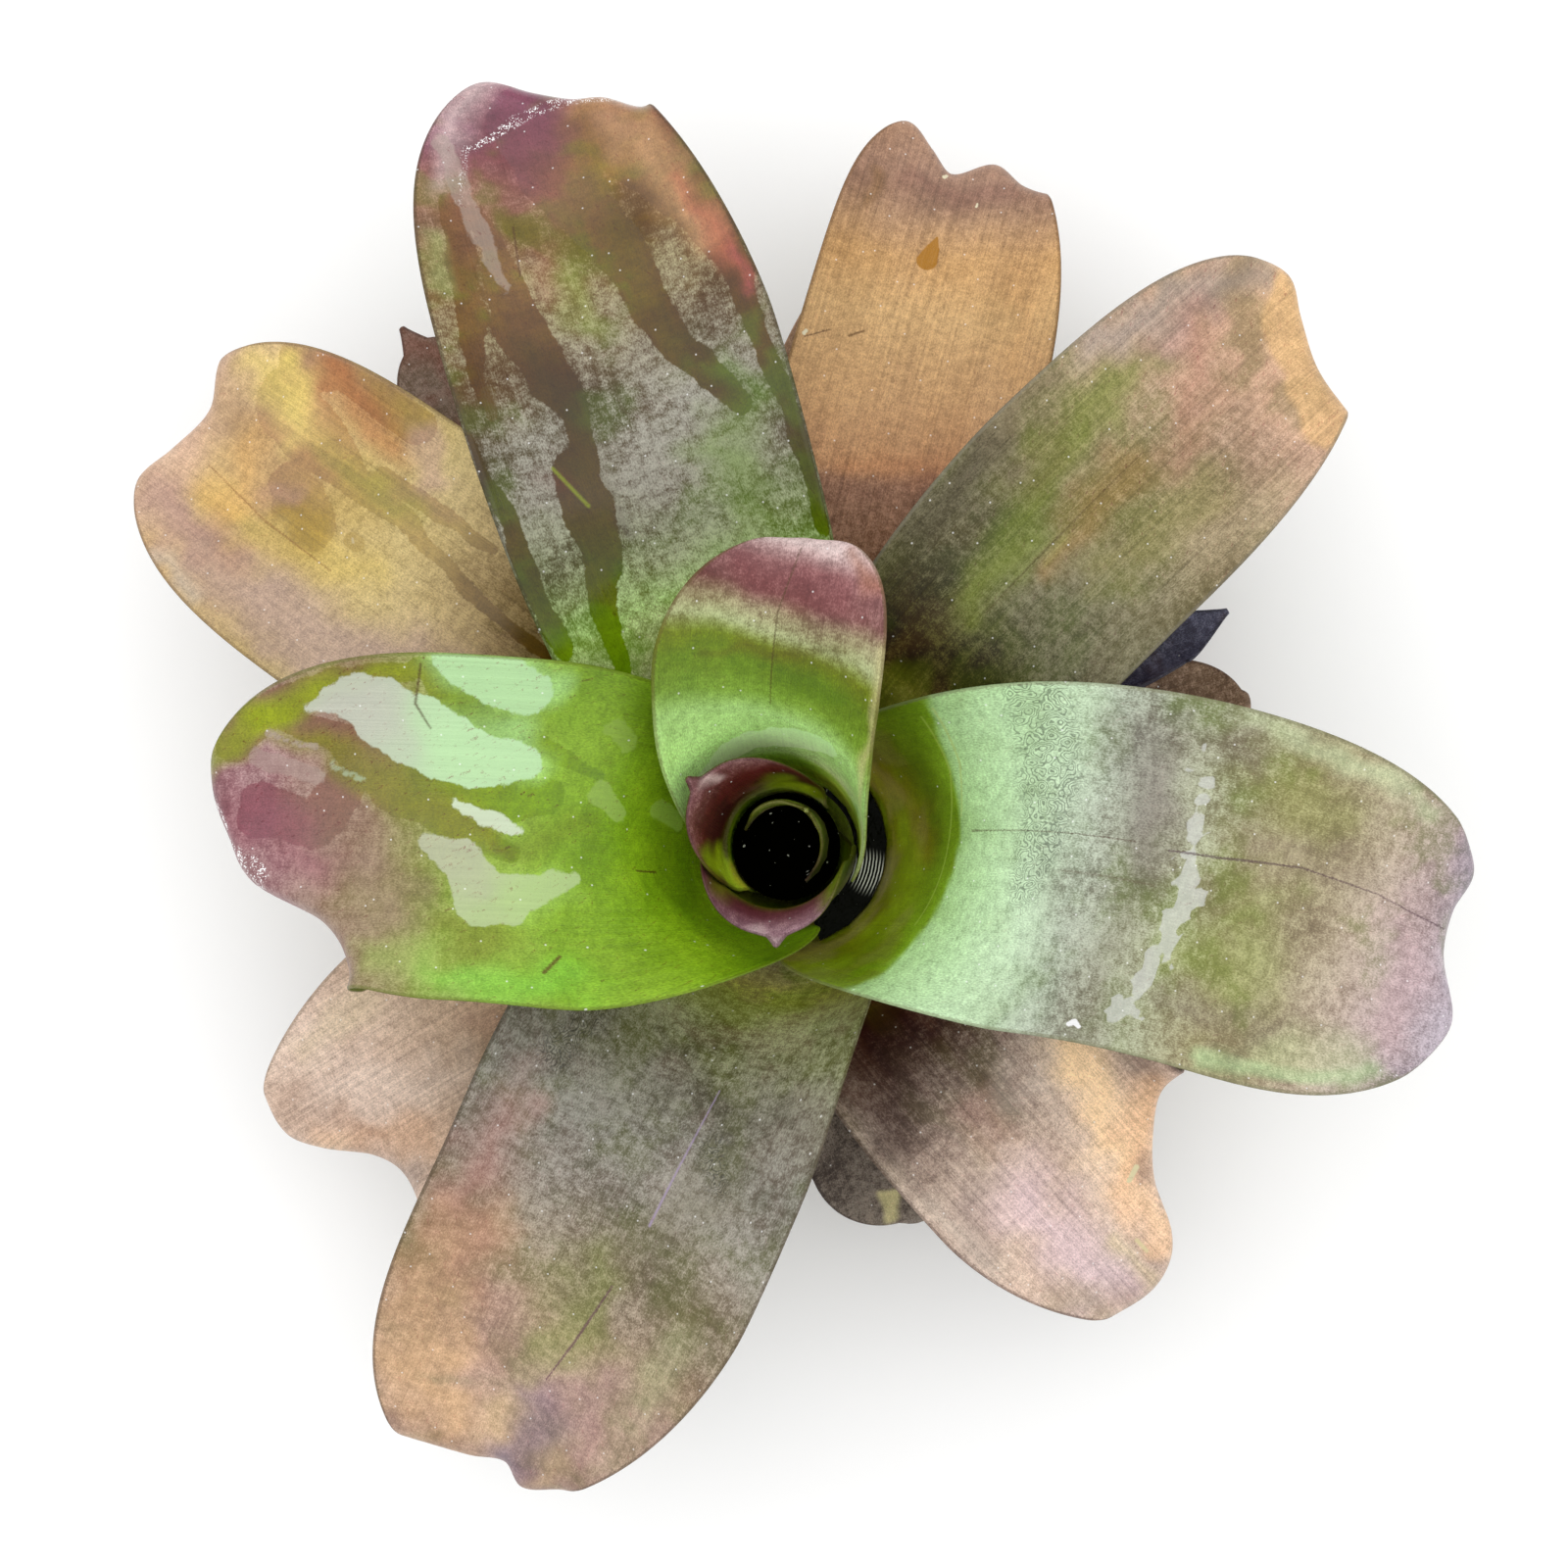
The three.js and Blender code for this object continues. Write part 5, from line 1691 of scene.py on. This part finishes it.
SKINS["leaf_low_left"] = Skin(
    flesh=((-50, "2A2408"), (45, "4A3C16"), (60, "644E2A"), (80, "8A7044"), (100, "B69C62"),
           (125, "C2A45C"), (145, "C09A64"), (165, "C49A70"), (185, "C09880"), (205, "BC927A")),
    bloom_and_sheen=((45, "80804A", 0.4), (62, "A89268", 0.5), (82, "CDB688", 0.55), (105, "DFCB94", 0.6),
          (128, "DEC688", 0.55), (150, "E0C58C", 0.5), (170, "E8CC98", 0.45), (188, "F0D4B4", 0.45),
          (210, "F0D2B4", 0.45)),
    crumbs=((60, 0.45), (110, 0.25), (150, 0.15)), under="A08C68", mottle=0.25, blush="9A766A", patchy=0.2,
    grain=0.3, specks=0.35, rim="7A6248", run=0.7, lit=((40, 0.6), (75, 0.78), (120, 0.92), (160, 1)),
    wet=(
        ((50, -6, 2), (75, -8, 2.4), (95, -12, 2.6), (112, -15.5, 3.4), (130, -16, 6), (150, -20, 10),
         (166, -24, 12)),
        ((80, -23, 1.6), (100, -22.5, 2.6), (122, -22, 3.4)),
        ((133, 3, 7.5), (143, 0, 9), (150, -4, 7)),
        ((120, -42, 6), (150, -42, 6), (170, -36, 6)),
    ),
    tints=(
        Tint("B69A90", ((66, 24, 14), (110, 32, 14), (150, 34, 10), (178, 22, 8)), 12, 0.85),
        Tint("CFC6BA", ((150, 44, 2), (170, 38, 2)), 5, 0.5),
        Tint("B08078", ((164, 29, 4), (182, 22, 6)), 12, 0.45),
        Tint("D2B868", ((104, 2, 4), (124, 8, 6), (150, 14, 7), (166, 14, 6)), 10, 0.7),
        Tint("E0B060", ((160, 14, 4), (174, 12, 4)), 8, 0.7),
        Tint("B49440", ((131, 4, 6), (142, 2, 7)), 6, 0.8, 0.8),
        Tint("A8A44A", ((108, -18, 3), (130, -18, 4), (148, -16, 3)), 7, 0.5),
        Tint("C69A8C", ((146, -2, 3), (154, 3, 3)), 4, 0.6),
        Tint("EAD07A", ((158, -20, 6), (168, -28, 10), (178, -28, 8)), 11, 0.85, 0.4),
        Tint("E6B46C", ((160, 6, 5), (172, -8, 6)), 10, 0.6),
        Tint("BC7E54", ((124, -34, 5), (142, -36, 7), (154, -40, 5)), 7, 0.75, 0.9),
        Tint("C8A494", ((108, -30, 6), (116, -40, 5)), 5, 0.6),
        Tint("A4786E", ((150, 26, 5), (164, 20, 5)), 8, 0.5),
        Tint("A86E5C", ((140, -13, 2.5), (150, -13, 3)), 6, 0.4),
        Tint("E4BCA4", ((186, 12, 6), (192, -4, 7)), 10, 0.5),
        Tint("DDBC7C", ((174, 14, 6), (186, -16, 6)), 12, 0.4),
    ),
    lines=(
        Tint("8A5A3A", ((120, 11, 0.2), (150, 10, 0.3), (178, 6, 0.2)), 0.8, 0.5),
        # A painted highlight on the drop.
        Tint("F4E6C0", ((119.5, -0.2, 0.4), (120.5, -1, 0.3)), 0.5, 0.9),
    ),
    drops=(Tint("A88838", ((118, -0.5, 2.6), (120.5, -0.5, 2.6)), strength=0.4),),
)

SKINS["leaf_low_back"] = Skin(
    flesh=((-50, "2E1A10"), (45, "5A3C2C"), (60, "6E4E3C"), (71, "7E5846"), (75, "AC7C54"), (100, "AE8458"),
           (125, "B08C5E"), (145, "A87E4E"), (160, "987452"), (169, "806250"), (180, "8E7060"),
           (200, "92705A")),
    bloom_and_sheen=((45, "947462", 0.45), (68, "A27E68", 0.4), (76, "CFA27A", 0.4), (95, "D4AD80", 0.5),
          (125, "D6B282", 0.5), (148, "D2AC7C", 0.45), (162, "C4A486", 0.4), (172, "AC8C78", 0.35),
          (200, "BE9C80", 0.4)),
    lit=((50, 0.45), (76, 0.72), (110, 0.84), (150, 0.72), (200, 0.66)),
    crumbs=((40, 0.7), (72, 0.65), (80, 0.2)), under="A08662", tilt=-0.2, drift=5, mottle=0.25,
    blush="8A6248", patchy=0.15, grain=0.4, specks=0.35, run=0.35, rim="7A5A3A",
    tints=(
        Tint("B07450", ((78, -24, 5), (76, -8, 3), (72, 10, 2.5)), 6, 0.4),
        Tint("74524A", ((172, 14, 2), (171, 0, 3), (173, -16, 2)), 7, 0.6),
        Tint("7A5C38", ((158, 24, 2), (170, 24, 2)), 3, 0.5),
        Tint("C89A64", ((110, -36, 4), (140, -32, 5)), 10, 0.4),
    ),
    lines=(
        Tint("7A4E0E", ((141.6, 1.6, 0.35), (144.6, -1.6, 0.35), (150, -0.8, 0.2)), 0.5, 0.6),
        Tint("6E4E34", ((112, 18, 0.4), (115, 14, 0.3)), 0.8),
        Tint("5A3E28", ((107, 31, 0.2), (112, 24, 0.2)), 0.5, 0.7),
        # Tiny painted glints.
        Tint("F4EAC8", ((108, 31.4, 0.6), (109, 31, 0.5)), 0.4, 1),
        Tint("F4EAC8", ((176, 4, 0.7), (177, 3.4, 0.5)), 0.4, 1),
        Tint("F4EAC8", ((168, -8.5, 0.4), (169, -8.5, 0.3)), 0.4, 1),
    ),
    drops=(Tint("B8801F", ((144.5, 1.6, 3.3), (149, 1, 2.2), (153.5, 0.6, 0.4)), strength=0.9),),
)

SKINS["leaf_low_right"] = Skin(
    flesh=((-50, "1A0A08"), (5, "2D140A"), (20, "3A221C"), (40, "58443A"), (60, "847064"), (80, "9A8070"),
           (100, "AC8E7A"), (120, "A89080"), (140, "BCA28A")),
    bloom_and_sheen=((0, "5A443A", 0.3), (20, "7E6E62", 0.45), (40, "A89A8E", 0.5), (60, "C2B0A0", 0.5),
          (80, "CCB8A8", 0.5), (100, "E0CCBC", 0.5), (120, "E4D4C8", 0.5), (140, "E6CDB2", 0.4)),
    crumbs=((20, 0.6), (60, 0.4), (90, 0.2)), under="8E7A62", drift=10, mottle=0.35, blush="74504A",
    clouds=0.1, patchy=0.25, grain=0.45, rim="4A3430", run=0.5,
    lit=((0, 0.15), (20, 0.5), (50, 0.58), (140, 0.68)),
    tints=(
        Tint("DDB98A", ((56, 24, 6), (76, 18, 8), (92, 8, 5)), 12, 0.65),
        Tint("CFA070", ((80, 34, 5), (88, 24, 6), (100, 8, 6), (122, 4, 6)), 9, 0.6),
        Tint("E4BE98", ((104, 10, 4), (120, 6, 5)), 9, 0.5),
        Tint("B8A0A6", ((78, -18, 9), (108, -20, 10), (128, -14, 6)), 14, 0.75),
        Tint("C2B27C", ((112, -7, 2.5), (130, -9, 2.5)), 6, 0.5),
        Tint("8E5E54", ((50, -8, 4), (60, -12, 4)), 10, 0.4),
        Tint("34221E", ((6, -10, 10), (28, -24, 12), (44, -38, 8)), 14, 0.85),
        Tint("7A6A66", ((66, -30, 7), (78, -38, 6)), 12, 0.6),
        Tint("B4A498", ((46, 6, 3), (50, -4, 3), (56, 8, 3)), 6, 0.5),
        Tint("6A4A3E", ((94, 18, 1.5), (102, 14, 2)), 3, 0.5),
        Tint("A89C90", ((60, -42, 4), (90, -40, 3)), 7, 0.5),
    ),
    lines=(
        # Painted glints.
        Tint("F4E8BC", ((97, 14, 0.9), (99, 9.5, 0.8)), 0.6, 1),
        Tint("F0E0B0", ((116, -1.5, 0.7), (121, -1.5, 0.6)), 0.6, 0.9),
    ),
)

SKINS["leaf_low_front"] = Skin(
    flesh=((-50, "3A2C1A"), (45, "6E5840"), (65, "947860"), (85, "AC8E78"), (105, "AE8E7A"),
           (125, "A68876"), (145, "A88874")),
    bloom_and_sheen=((45, "AF957A", 0.45), (65, "C5AF98", 0.5), (85, "D5C1AE", 0.55), (105, "DFCDBE", 0.55),
          (122, "E0CEBE", 0.45), (145, "DAC1A8", 0.45)),
    crumbs=((50, 0.3), (100, 0.15)), under="A08A70", drift=12, mottle=0.25, blush="966E5A", patchy=0.2,
    grain=0.45, specks=0.2, rim="8A7A68", run=0.4, lit=((45, 0.46), (72, 0.66), (140, 0.66)),
    tints=(
        Tint("B48A68", ((88, 24, 6), (104, 16, 6), (124, 9, 6)), 10, 0.6),
        Tint("D9C6B8", ((72, 10, 6), (92, 4, 7), (112, -6, 6)), 14, 0.5),
        Tint("B4A680", ((84, -24, 4), (112, -20, 3)), 9, 0.4),
        Tint("84746C", ((98, 34, 3), (103, 28, 3)), 5, 0.6),
        Tint("8A6248", ((104, 17, 1.2), (116, 2, 1.2)), 5, 0.45),
        Tint("E0C4A6", ((118, 12, 3), (128, 9, 3)), 6, 0.5),
        Tint("8A665A", ((50, 4, 5), (58, 0, 4)), 9, 0.4),
    ),
)

SKINS["leaf_under_back"] = Skin(
    flesh=((-50, "5A4432"), (60, "9A7454"), (110, "D8AC8C"), (150, "DEB898"), (171, "C89A78")),
    bloom_and_sheen=((60, "C8A284", 0.4), (171, "E8CCB0", 0.5)),
    under="A08868", mottle=0.2, grain=0.26, specks=0.3, rim="A07A58",
)

SKINS["leaf_withered_left"] = Skin(
    flesh=((-50, "4A3A30"), (60, "6E5848"), (120, "76604A"), (157, "7C6450")),
    bloom_and_sheen=((60, "8E7C70", 0.5), (157, "A89488", 0.5)),
    under="7A6660", mottle=0.5, blush="8A4A3C", grain=0.3, specks=0.6, rim="4A3030", roughness=0.62,
    tints=(Tint("8A4A3C", ((140, -10, 4), (150, 2, 4)), 6, 0.5),),
)

SKINS["leaf_withered_front"] = Skin(
    flesh=((-50, "2A2220"), (40, "4A3E38"), (78, "64564E")),
    bloom_and_sheen=((20, "8E8478", 0.5), (78, "A89C8E", 0.55)),
    under="6E645C", mottle=0.4, blush="3E3430", grain=0.32, specks=0.7, rim="3E3430", roughness=0.65,
    tints=(Tint("E6DCA0", ((58, -6, 2.4), (66, -8, 2)), 2, 0.85),),
)

SKINS["leaf_withered_curl"] = Skin(
    flesh=((-50, "3A3036"), (50, "464052"), (104, "4E4C60")),
    bloom_and_sheen=((40, "7C7A8C", 0.35), (104, "8E90A8", 0.45)),
    under="3E3A4A", mottle=0.4, blush="5A4038", grain=0.3, specks=0.4, rim="2E2834", roughness=0.5,
)

SKINS["leaf_withered_right"] = Skin(
    flesh=((-50, "3E2A1E"), (50, "5E4436"), (111, "7A6048")),
    bloom_and_sheen=((40, "9A8474", 0.4), (100, "B49A84", 0.45), (111, "E8D8B0", 0.8)),
    under="7A6048", mottle=0.4, blush="4A3024", grain=0.32, specks=0.5, rim="4A3626", roughness=0.6,
)


@dataclass(frozen=True)
class Bark:
    """The bark's finish: its colours, and its sizes in millimetres."""

    light: str = "9A7E56"
    dark: str = "4E3A26"
    cracks: str = "2E2016"
    cut: str = "C9B488"
    vessels: str = "9A7C4E"
    coarse_size: float = 1 / 0.16
    fine_size: float = 1 / 0.9
    coarse_squeeze: float = 2.5
    fine_squeeze: float = 0.35
    ring_turns: float = 1.6
    ring_wander: float = 3
    cut_step: tuple[float, float] = (0.35, 0.1)
    roughness: float = 0.85
    depth: float = 0.0008

    def material(self) -> bpy.types.Material:
        """Dull brown fibres, and a paler cut face with rings of vessels.

        Returns:
            The stem's material.
        """
        paint = Paint("stem_bark")
        place = paint.place_in_object((1 / MM, 1 / MM, 1 / MM))
        x, y, z = paint.split(place)
        coarse = self._noise(paint, place, self.coarse_squeeze, self.coarse_size, 5)
        fine = self._noise(paint, place, self.fine_squeeze, self.fine_size, 4)
        bark = paint.mix(colour(self.dark), colour(self.light), coarse.step(0.35, 0.7))
        bark = paint.mix(bark, colour(self.cracks), fine.step(0.6, 0.42) * 0.6)
        radius = paint.math("SQRT", x * x + y * y)
        rings = paint.math("SINE", radius * self.ring_turns + fine * self.ring_wander) * 0.5 + 0.5
        cut = paint.mix(colour(self.cut), colour(self.vessels), rings * coarse)
        return paint.finish({
            "Base Color": paint.mix(bark, cut, z.step(*self.cut_step)),
            "Roughness": self.roughness,
            "Normal": paint.bump(coarse * 0.6 + fine * 0.5, self.depth, 0.8),
        })

    @staticmethod
    def _noise(paint: Paint, place: Signal, squeeze: float, size: float, detail: float) -> Signal:
        """Noise in space, squeezed upright."""
        return paint.noise(paint.vector("MULTIPLY", place, (1, 1, squeeze)), size, detail, 0.5, "3D")


@dataclass(frozen=True)
class Stem:
    """The cut stem: a stub ringed with leaf scars, and the cone that the leaves grow from.

    Its sizes are in millimetres. edge is how far the rim of the cut face is worn, inset how far
    in, as a share of the radius, the face has a loop, and dome how far the hidden top bulges.
    The scars start scar_from above the ground and stand scar_pitch apart.
    """

    sides: int = 144
    edge: float = 1.5
    inset: float = 0.12
    dome: float = 3.0
    ring_step: float = 0.4
    cone_step: float = 2.0
    scar_from: float = 4.5
    scar_pitch: float = 3.2
    scar_count: int = 4
    scar_relief: float = 0.7
    bark_relief: float = 0.22
    bark_ridges: int = 23

    def outline(self) -> list[tuple[float, float]]:
        """Draws the stem's side from the cut face up.

        Returns:
            Its (radius, height) places.
        """
        worn = self.edge / 3
        places = [(STEM_FOOT - self.edge, 0.0), (STEM_FOOT - worn, worn), (STEM_FOOT, self.edge)]
        top_scar = self.scar_from + self.scar_pitch * (self.scar_count - 1)
        for z in np.arange(self.edge + self.ring_step, STEM_TAPER_START, self.ring_step):
            ring = (z - self.scar_from) / self.scar_pitch % 1
            dip = self.scar_relief * smooth((ring - 0.35) / 0.3) * smooth((1 - ring) / 0.12)
            places.append((STEM_FOOT - (dip if z < top_scar else 0), float(z)))
        for z in np.arange(STEM_TAPER_START, STEM_HEIGHT, self.cone_step):
            places.append((stem_radius(z), float(z)))
        places.append((STEM_TOP, STEM_HEIGHT))
        return places

    def spun(self) -> bmesh.types.BMesh:
        """Spins the outline and closes both ends.

        Returns:
            The smooth stem, upright and in millimetres.
        """
        stem = bmesh.new()
        start = [stem.verts.new((r, 0, z)) for r, z in self.outline()]
        edges = [stem.edges.new(pair) for pair in zip(start, start[1:])]
        bmesh.ops.spin(stem, geom=start + edges, axis=(0, 0, 1), cent=(0, 0, 0), angle=math.tau,
                       steps=self.sides, use_merge=True)
        bmesh.ops.remove_doubles(stem, verts=stem.verts[:], dist=0.001)
        open_edges = [edge for edge in stem.edges if edge.is_boundary]
        caps = bmesh.ops.holes_fill(stem, edges=open_edges, sides=0)["faces"]
        top = max(caps, key=lambda face: face.calc_center_median().z)
        foot = min(caps, key=lambda face: face.calc_center_median().z)
        bmesh.ops.inset_region(stem, faces=[foot], thickness=STEM_FOOT * self.inset)
        bmesh.ops.poke(stem, faces=[top])
        crown = max(stem.verts, key=lambda vert: (round(vert.co.z, 3), -vert.co.xy.length))
        crown.co.z += self.dome
        bmesh.ops.recalc_face_normals(stem, faces=stem.faces[:])
        return stem

    def roughened(self, points: np.ndarray) -> np.ndarray:
        """Sinks furrows between broken ridges of bark.

        Args:
            points: places on the smooth stem.

        Returns:
            Their places on the rough one.
        """
        height = points[:, 2]
        turn = np.arctan2(points[:, 1], points[:, 0])
        around = np.sin(self.bark_ridges * turn + 3 * np.sin(5 * turn))
        ridges = around * np.sin(height * 0.9 + 4 * np.sin(3 * turn))
        side = smooth(height / 3) * smooth((STEM_HEIGHT - height) / 6)
        radius = np.hypot(points[:, 0], points[:, 1]) + 1e-6
        narrowed = 1 - self.bark_relief * (1 + ridges) * side / radius
        return np.column_stack([points[:, :2] * narrowed[:, None], height])

    def build(self) -> bpy.types.Object:
        """Makes the stem and dresses it in bark.

        Returns:
            The stem's piece.
        """
        mesh = bpy.data.meshes.new("stem_bark")
        stem = self.spun()
        stem.to_mesh(mesh)
        stem.free()
        piece = finished("stem_bark", mesh, leaned(self.roughened(points_of(mesh))))
        piece.data.materials.append(Bark().material())
        return piece


@dataclass(frozen=True)
class Water:
    """A still pool of rain water, with painted ridges of reflected light round the plant's middle.

    tone is its colour, near-black: partly dark water, partly painted shade of the deep cup. ripple
    is the depth of its ripples in metres and shine how much it mirrors. The painted ridges lie
    round glint, a place in millimetres, and end reach from it; painted glint spots lie all over.
    """

    node: str
    tone: str
    ripple: float
    shine: float
    glint: tuple[float, float, float]
    reach: float
    light: str = "F2F6EA"
    wave_size: float = 3.2
    spot_size: float = 1.7
    ridge_turns: float = 6
    ridge_wander: float = 2

    def dress(self) -> None:
        """Gives the frame's pool its material."""
        paint = Paint(self.node)
        place = paint.place_in_object((1 / MM, 1 / MM, 0))
        waves = paint.noise(place, self.wave_size)
        # Painted reflections: white ridges round glint and scattered glint spots, mixed into the base colour.
        ridges = paint.math("SINE", paint.length(place) * self.ridge_turns + waves * self.ridge_wander)
        away = paint.length(paint.vector("SUBTRACT", place, self.glint))
        glint_spots = paint.noise(place, self.spot_size, 1).step(0.78, 0.82) * 0.5
        glint = ridges.step(0.1, 0.9) * away.step(self.reach, self.reach * 0.4) + glint_spots
        finish = paint.finish({
            "Base Color": paint.mix(colour(self.tone), colour(self.light), glint.held()),
            "Roughness": 0.03,
            "IOR": 1.33,
            "Specular IOR Level": self.shine,
            "Normal": paint.bump(waves, self.ripple, 0.6),
        })
        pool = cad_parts[self.node]
        pool.data.materials.clear()
        pool.data.materials.append(finish)


POOLS = (
    # Both pools are near-black: partly dark rain water, partly painted shade of the deep cups; the heart's
    # pool has no specular level.
    Water("water_heart", "020200", 0.0004, 0.0, (4, -6, 0), 1),
    Water("water_axil", "0A0C04", 0.0005, 0.04, (23, -6, 0), 8),
)


@dataclass(frozen=True)
class Lamp:
    """A square soft light that faces the plant, in metres and watts."""

    name: str
    place: tuple[float, float, float]
    size: float
    power: float

    def hang(self) -> None:
        """Hangs the light in its place."""
        lamp = bpy.data.lights.new(self.name, "AREA")
        lamp.size = self.size
        lamp.energy = self.power
        light = bpy.data.objects.new(self.name, lamp)
        light.location = self.place
        light.rotation_euler = (-Vector(self.place)).to_track_quat("-Z", "Y").to_euler()
        bpy.context.collection.objects.link(light)


@dataclass(frozen=True)
class Studio:
    """A white floor, soft light from above and a camera that looks straight down, in metres."""

    lamps: tuple[Lamp, ...] = (Lamp("key", (-0.5, 0.7, 1.5), 2.4, 17), Lamp("fill", (0.9, -0.6, 1.3), 2.4, 8))
    sky: float = 0.8
    white: str = "FFFFFF"
    camera: tuple[float, float, float] = (-0.0036, 0.0214, 1.1)
    lens: float = 75
    sensor: float = 36
    floor: float = 6.0
    floor_cells: int = 8
    floor_roughness: float = 0.9

    def build(self) -> None:
        """Lays the floor, hangs the lights and stands the camera."""
        self._lay_floor()
        for lamp in self.lamps:
            lamp.hang()
        world = bpy.data.worlds.new("room")
        world.use_nodes = True
        sky = world.node_tree.nodes["Background"]
        sky.inputs["Color"].default_value = colour(self.white)
        sky.inputs["Strength"].default_value = self.sky
        bpy.context.scene.world = world
        camera = bpy.data.objects.new("camera", bpy.data.cameras.new("camera"))
        camera.data.lens = self.lens
        camera.data.sensor_width = self.sensor
        camera.location = self.camera
        bpy.context.collection.objects.link(camera)
        bpy.context.scene.camera = camera
        bpy.context.scene.view_settings.view_transform = "Standard"

    def _lay_floor(self) -> None:
        """Lays the plain floor that the plant stands on."""
        sheet = bmesh.new()
        bmesh.ops.create_grid(sheet, x_segments=self.floor_cells, y_segments=self.floor_cells,
                              size=self.floor / 2)
        mesh = bpy.data.meshes.new("floor")
        sheet.to_mesh(mesh)
        sheet.free()
        floor = bpy.data.objects.new("floor", mesh)
        bpy.context.collection.objects.link(floor)
        finish = Paint("floor").finish({"Base Color": colour(self.white), "Roughness": self.floor_roughness})
        mesh.materials.append(finish)


def main() -> None:
    """Builds the plant and the studio round it, and reports each piece."""
    logging.basicConfig(level=logging.INFO, format="%(name)s: %(message)s")
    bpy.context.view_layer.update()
    Studio().build()
    for seed, leaf in enumerate(LEAVES):
        skin = SKINS[leaf.name]
        piece = LeafPiece(leaf, skin, seed).build()
        piece.data.materials.append(LeafPaint(piece.name, skin, seed).build())
        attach(piece, "root")
        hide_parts(leaf.name)
        LOG.info("%s: %d faces", piece.name, len(piece.data.polygons))
    stem = Stem().build()
    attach(stem, "root")
    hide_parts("stem")
    LOG.info("%s: %d faces", stem.name, len(stem.data.polygons))
    for pool in POOLS:
        pool.dress()


if __name__ == "__main__":
    main()
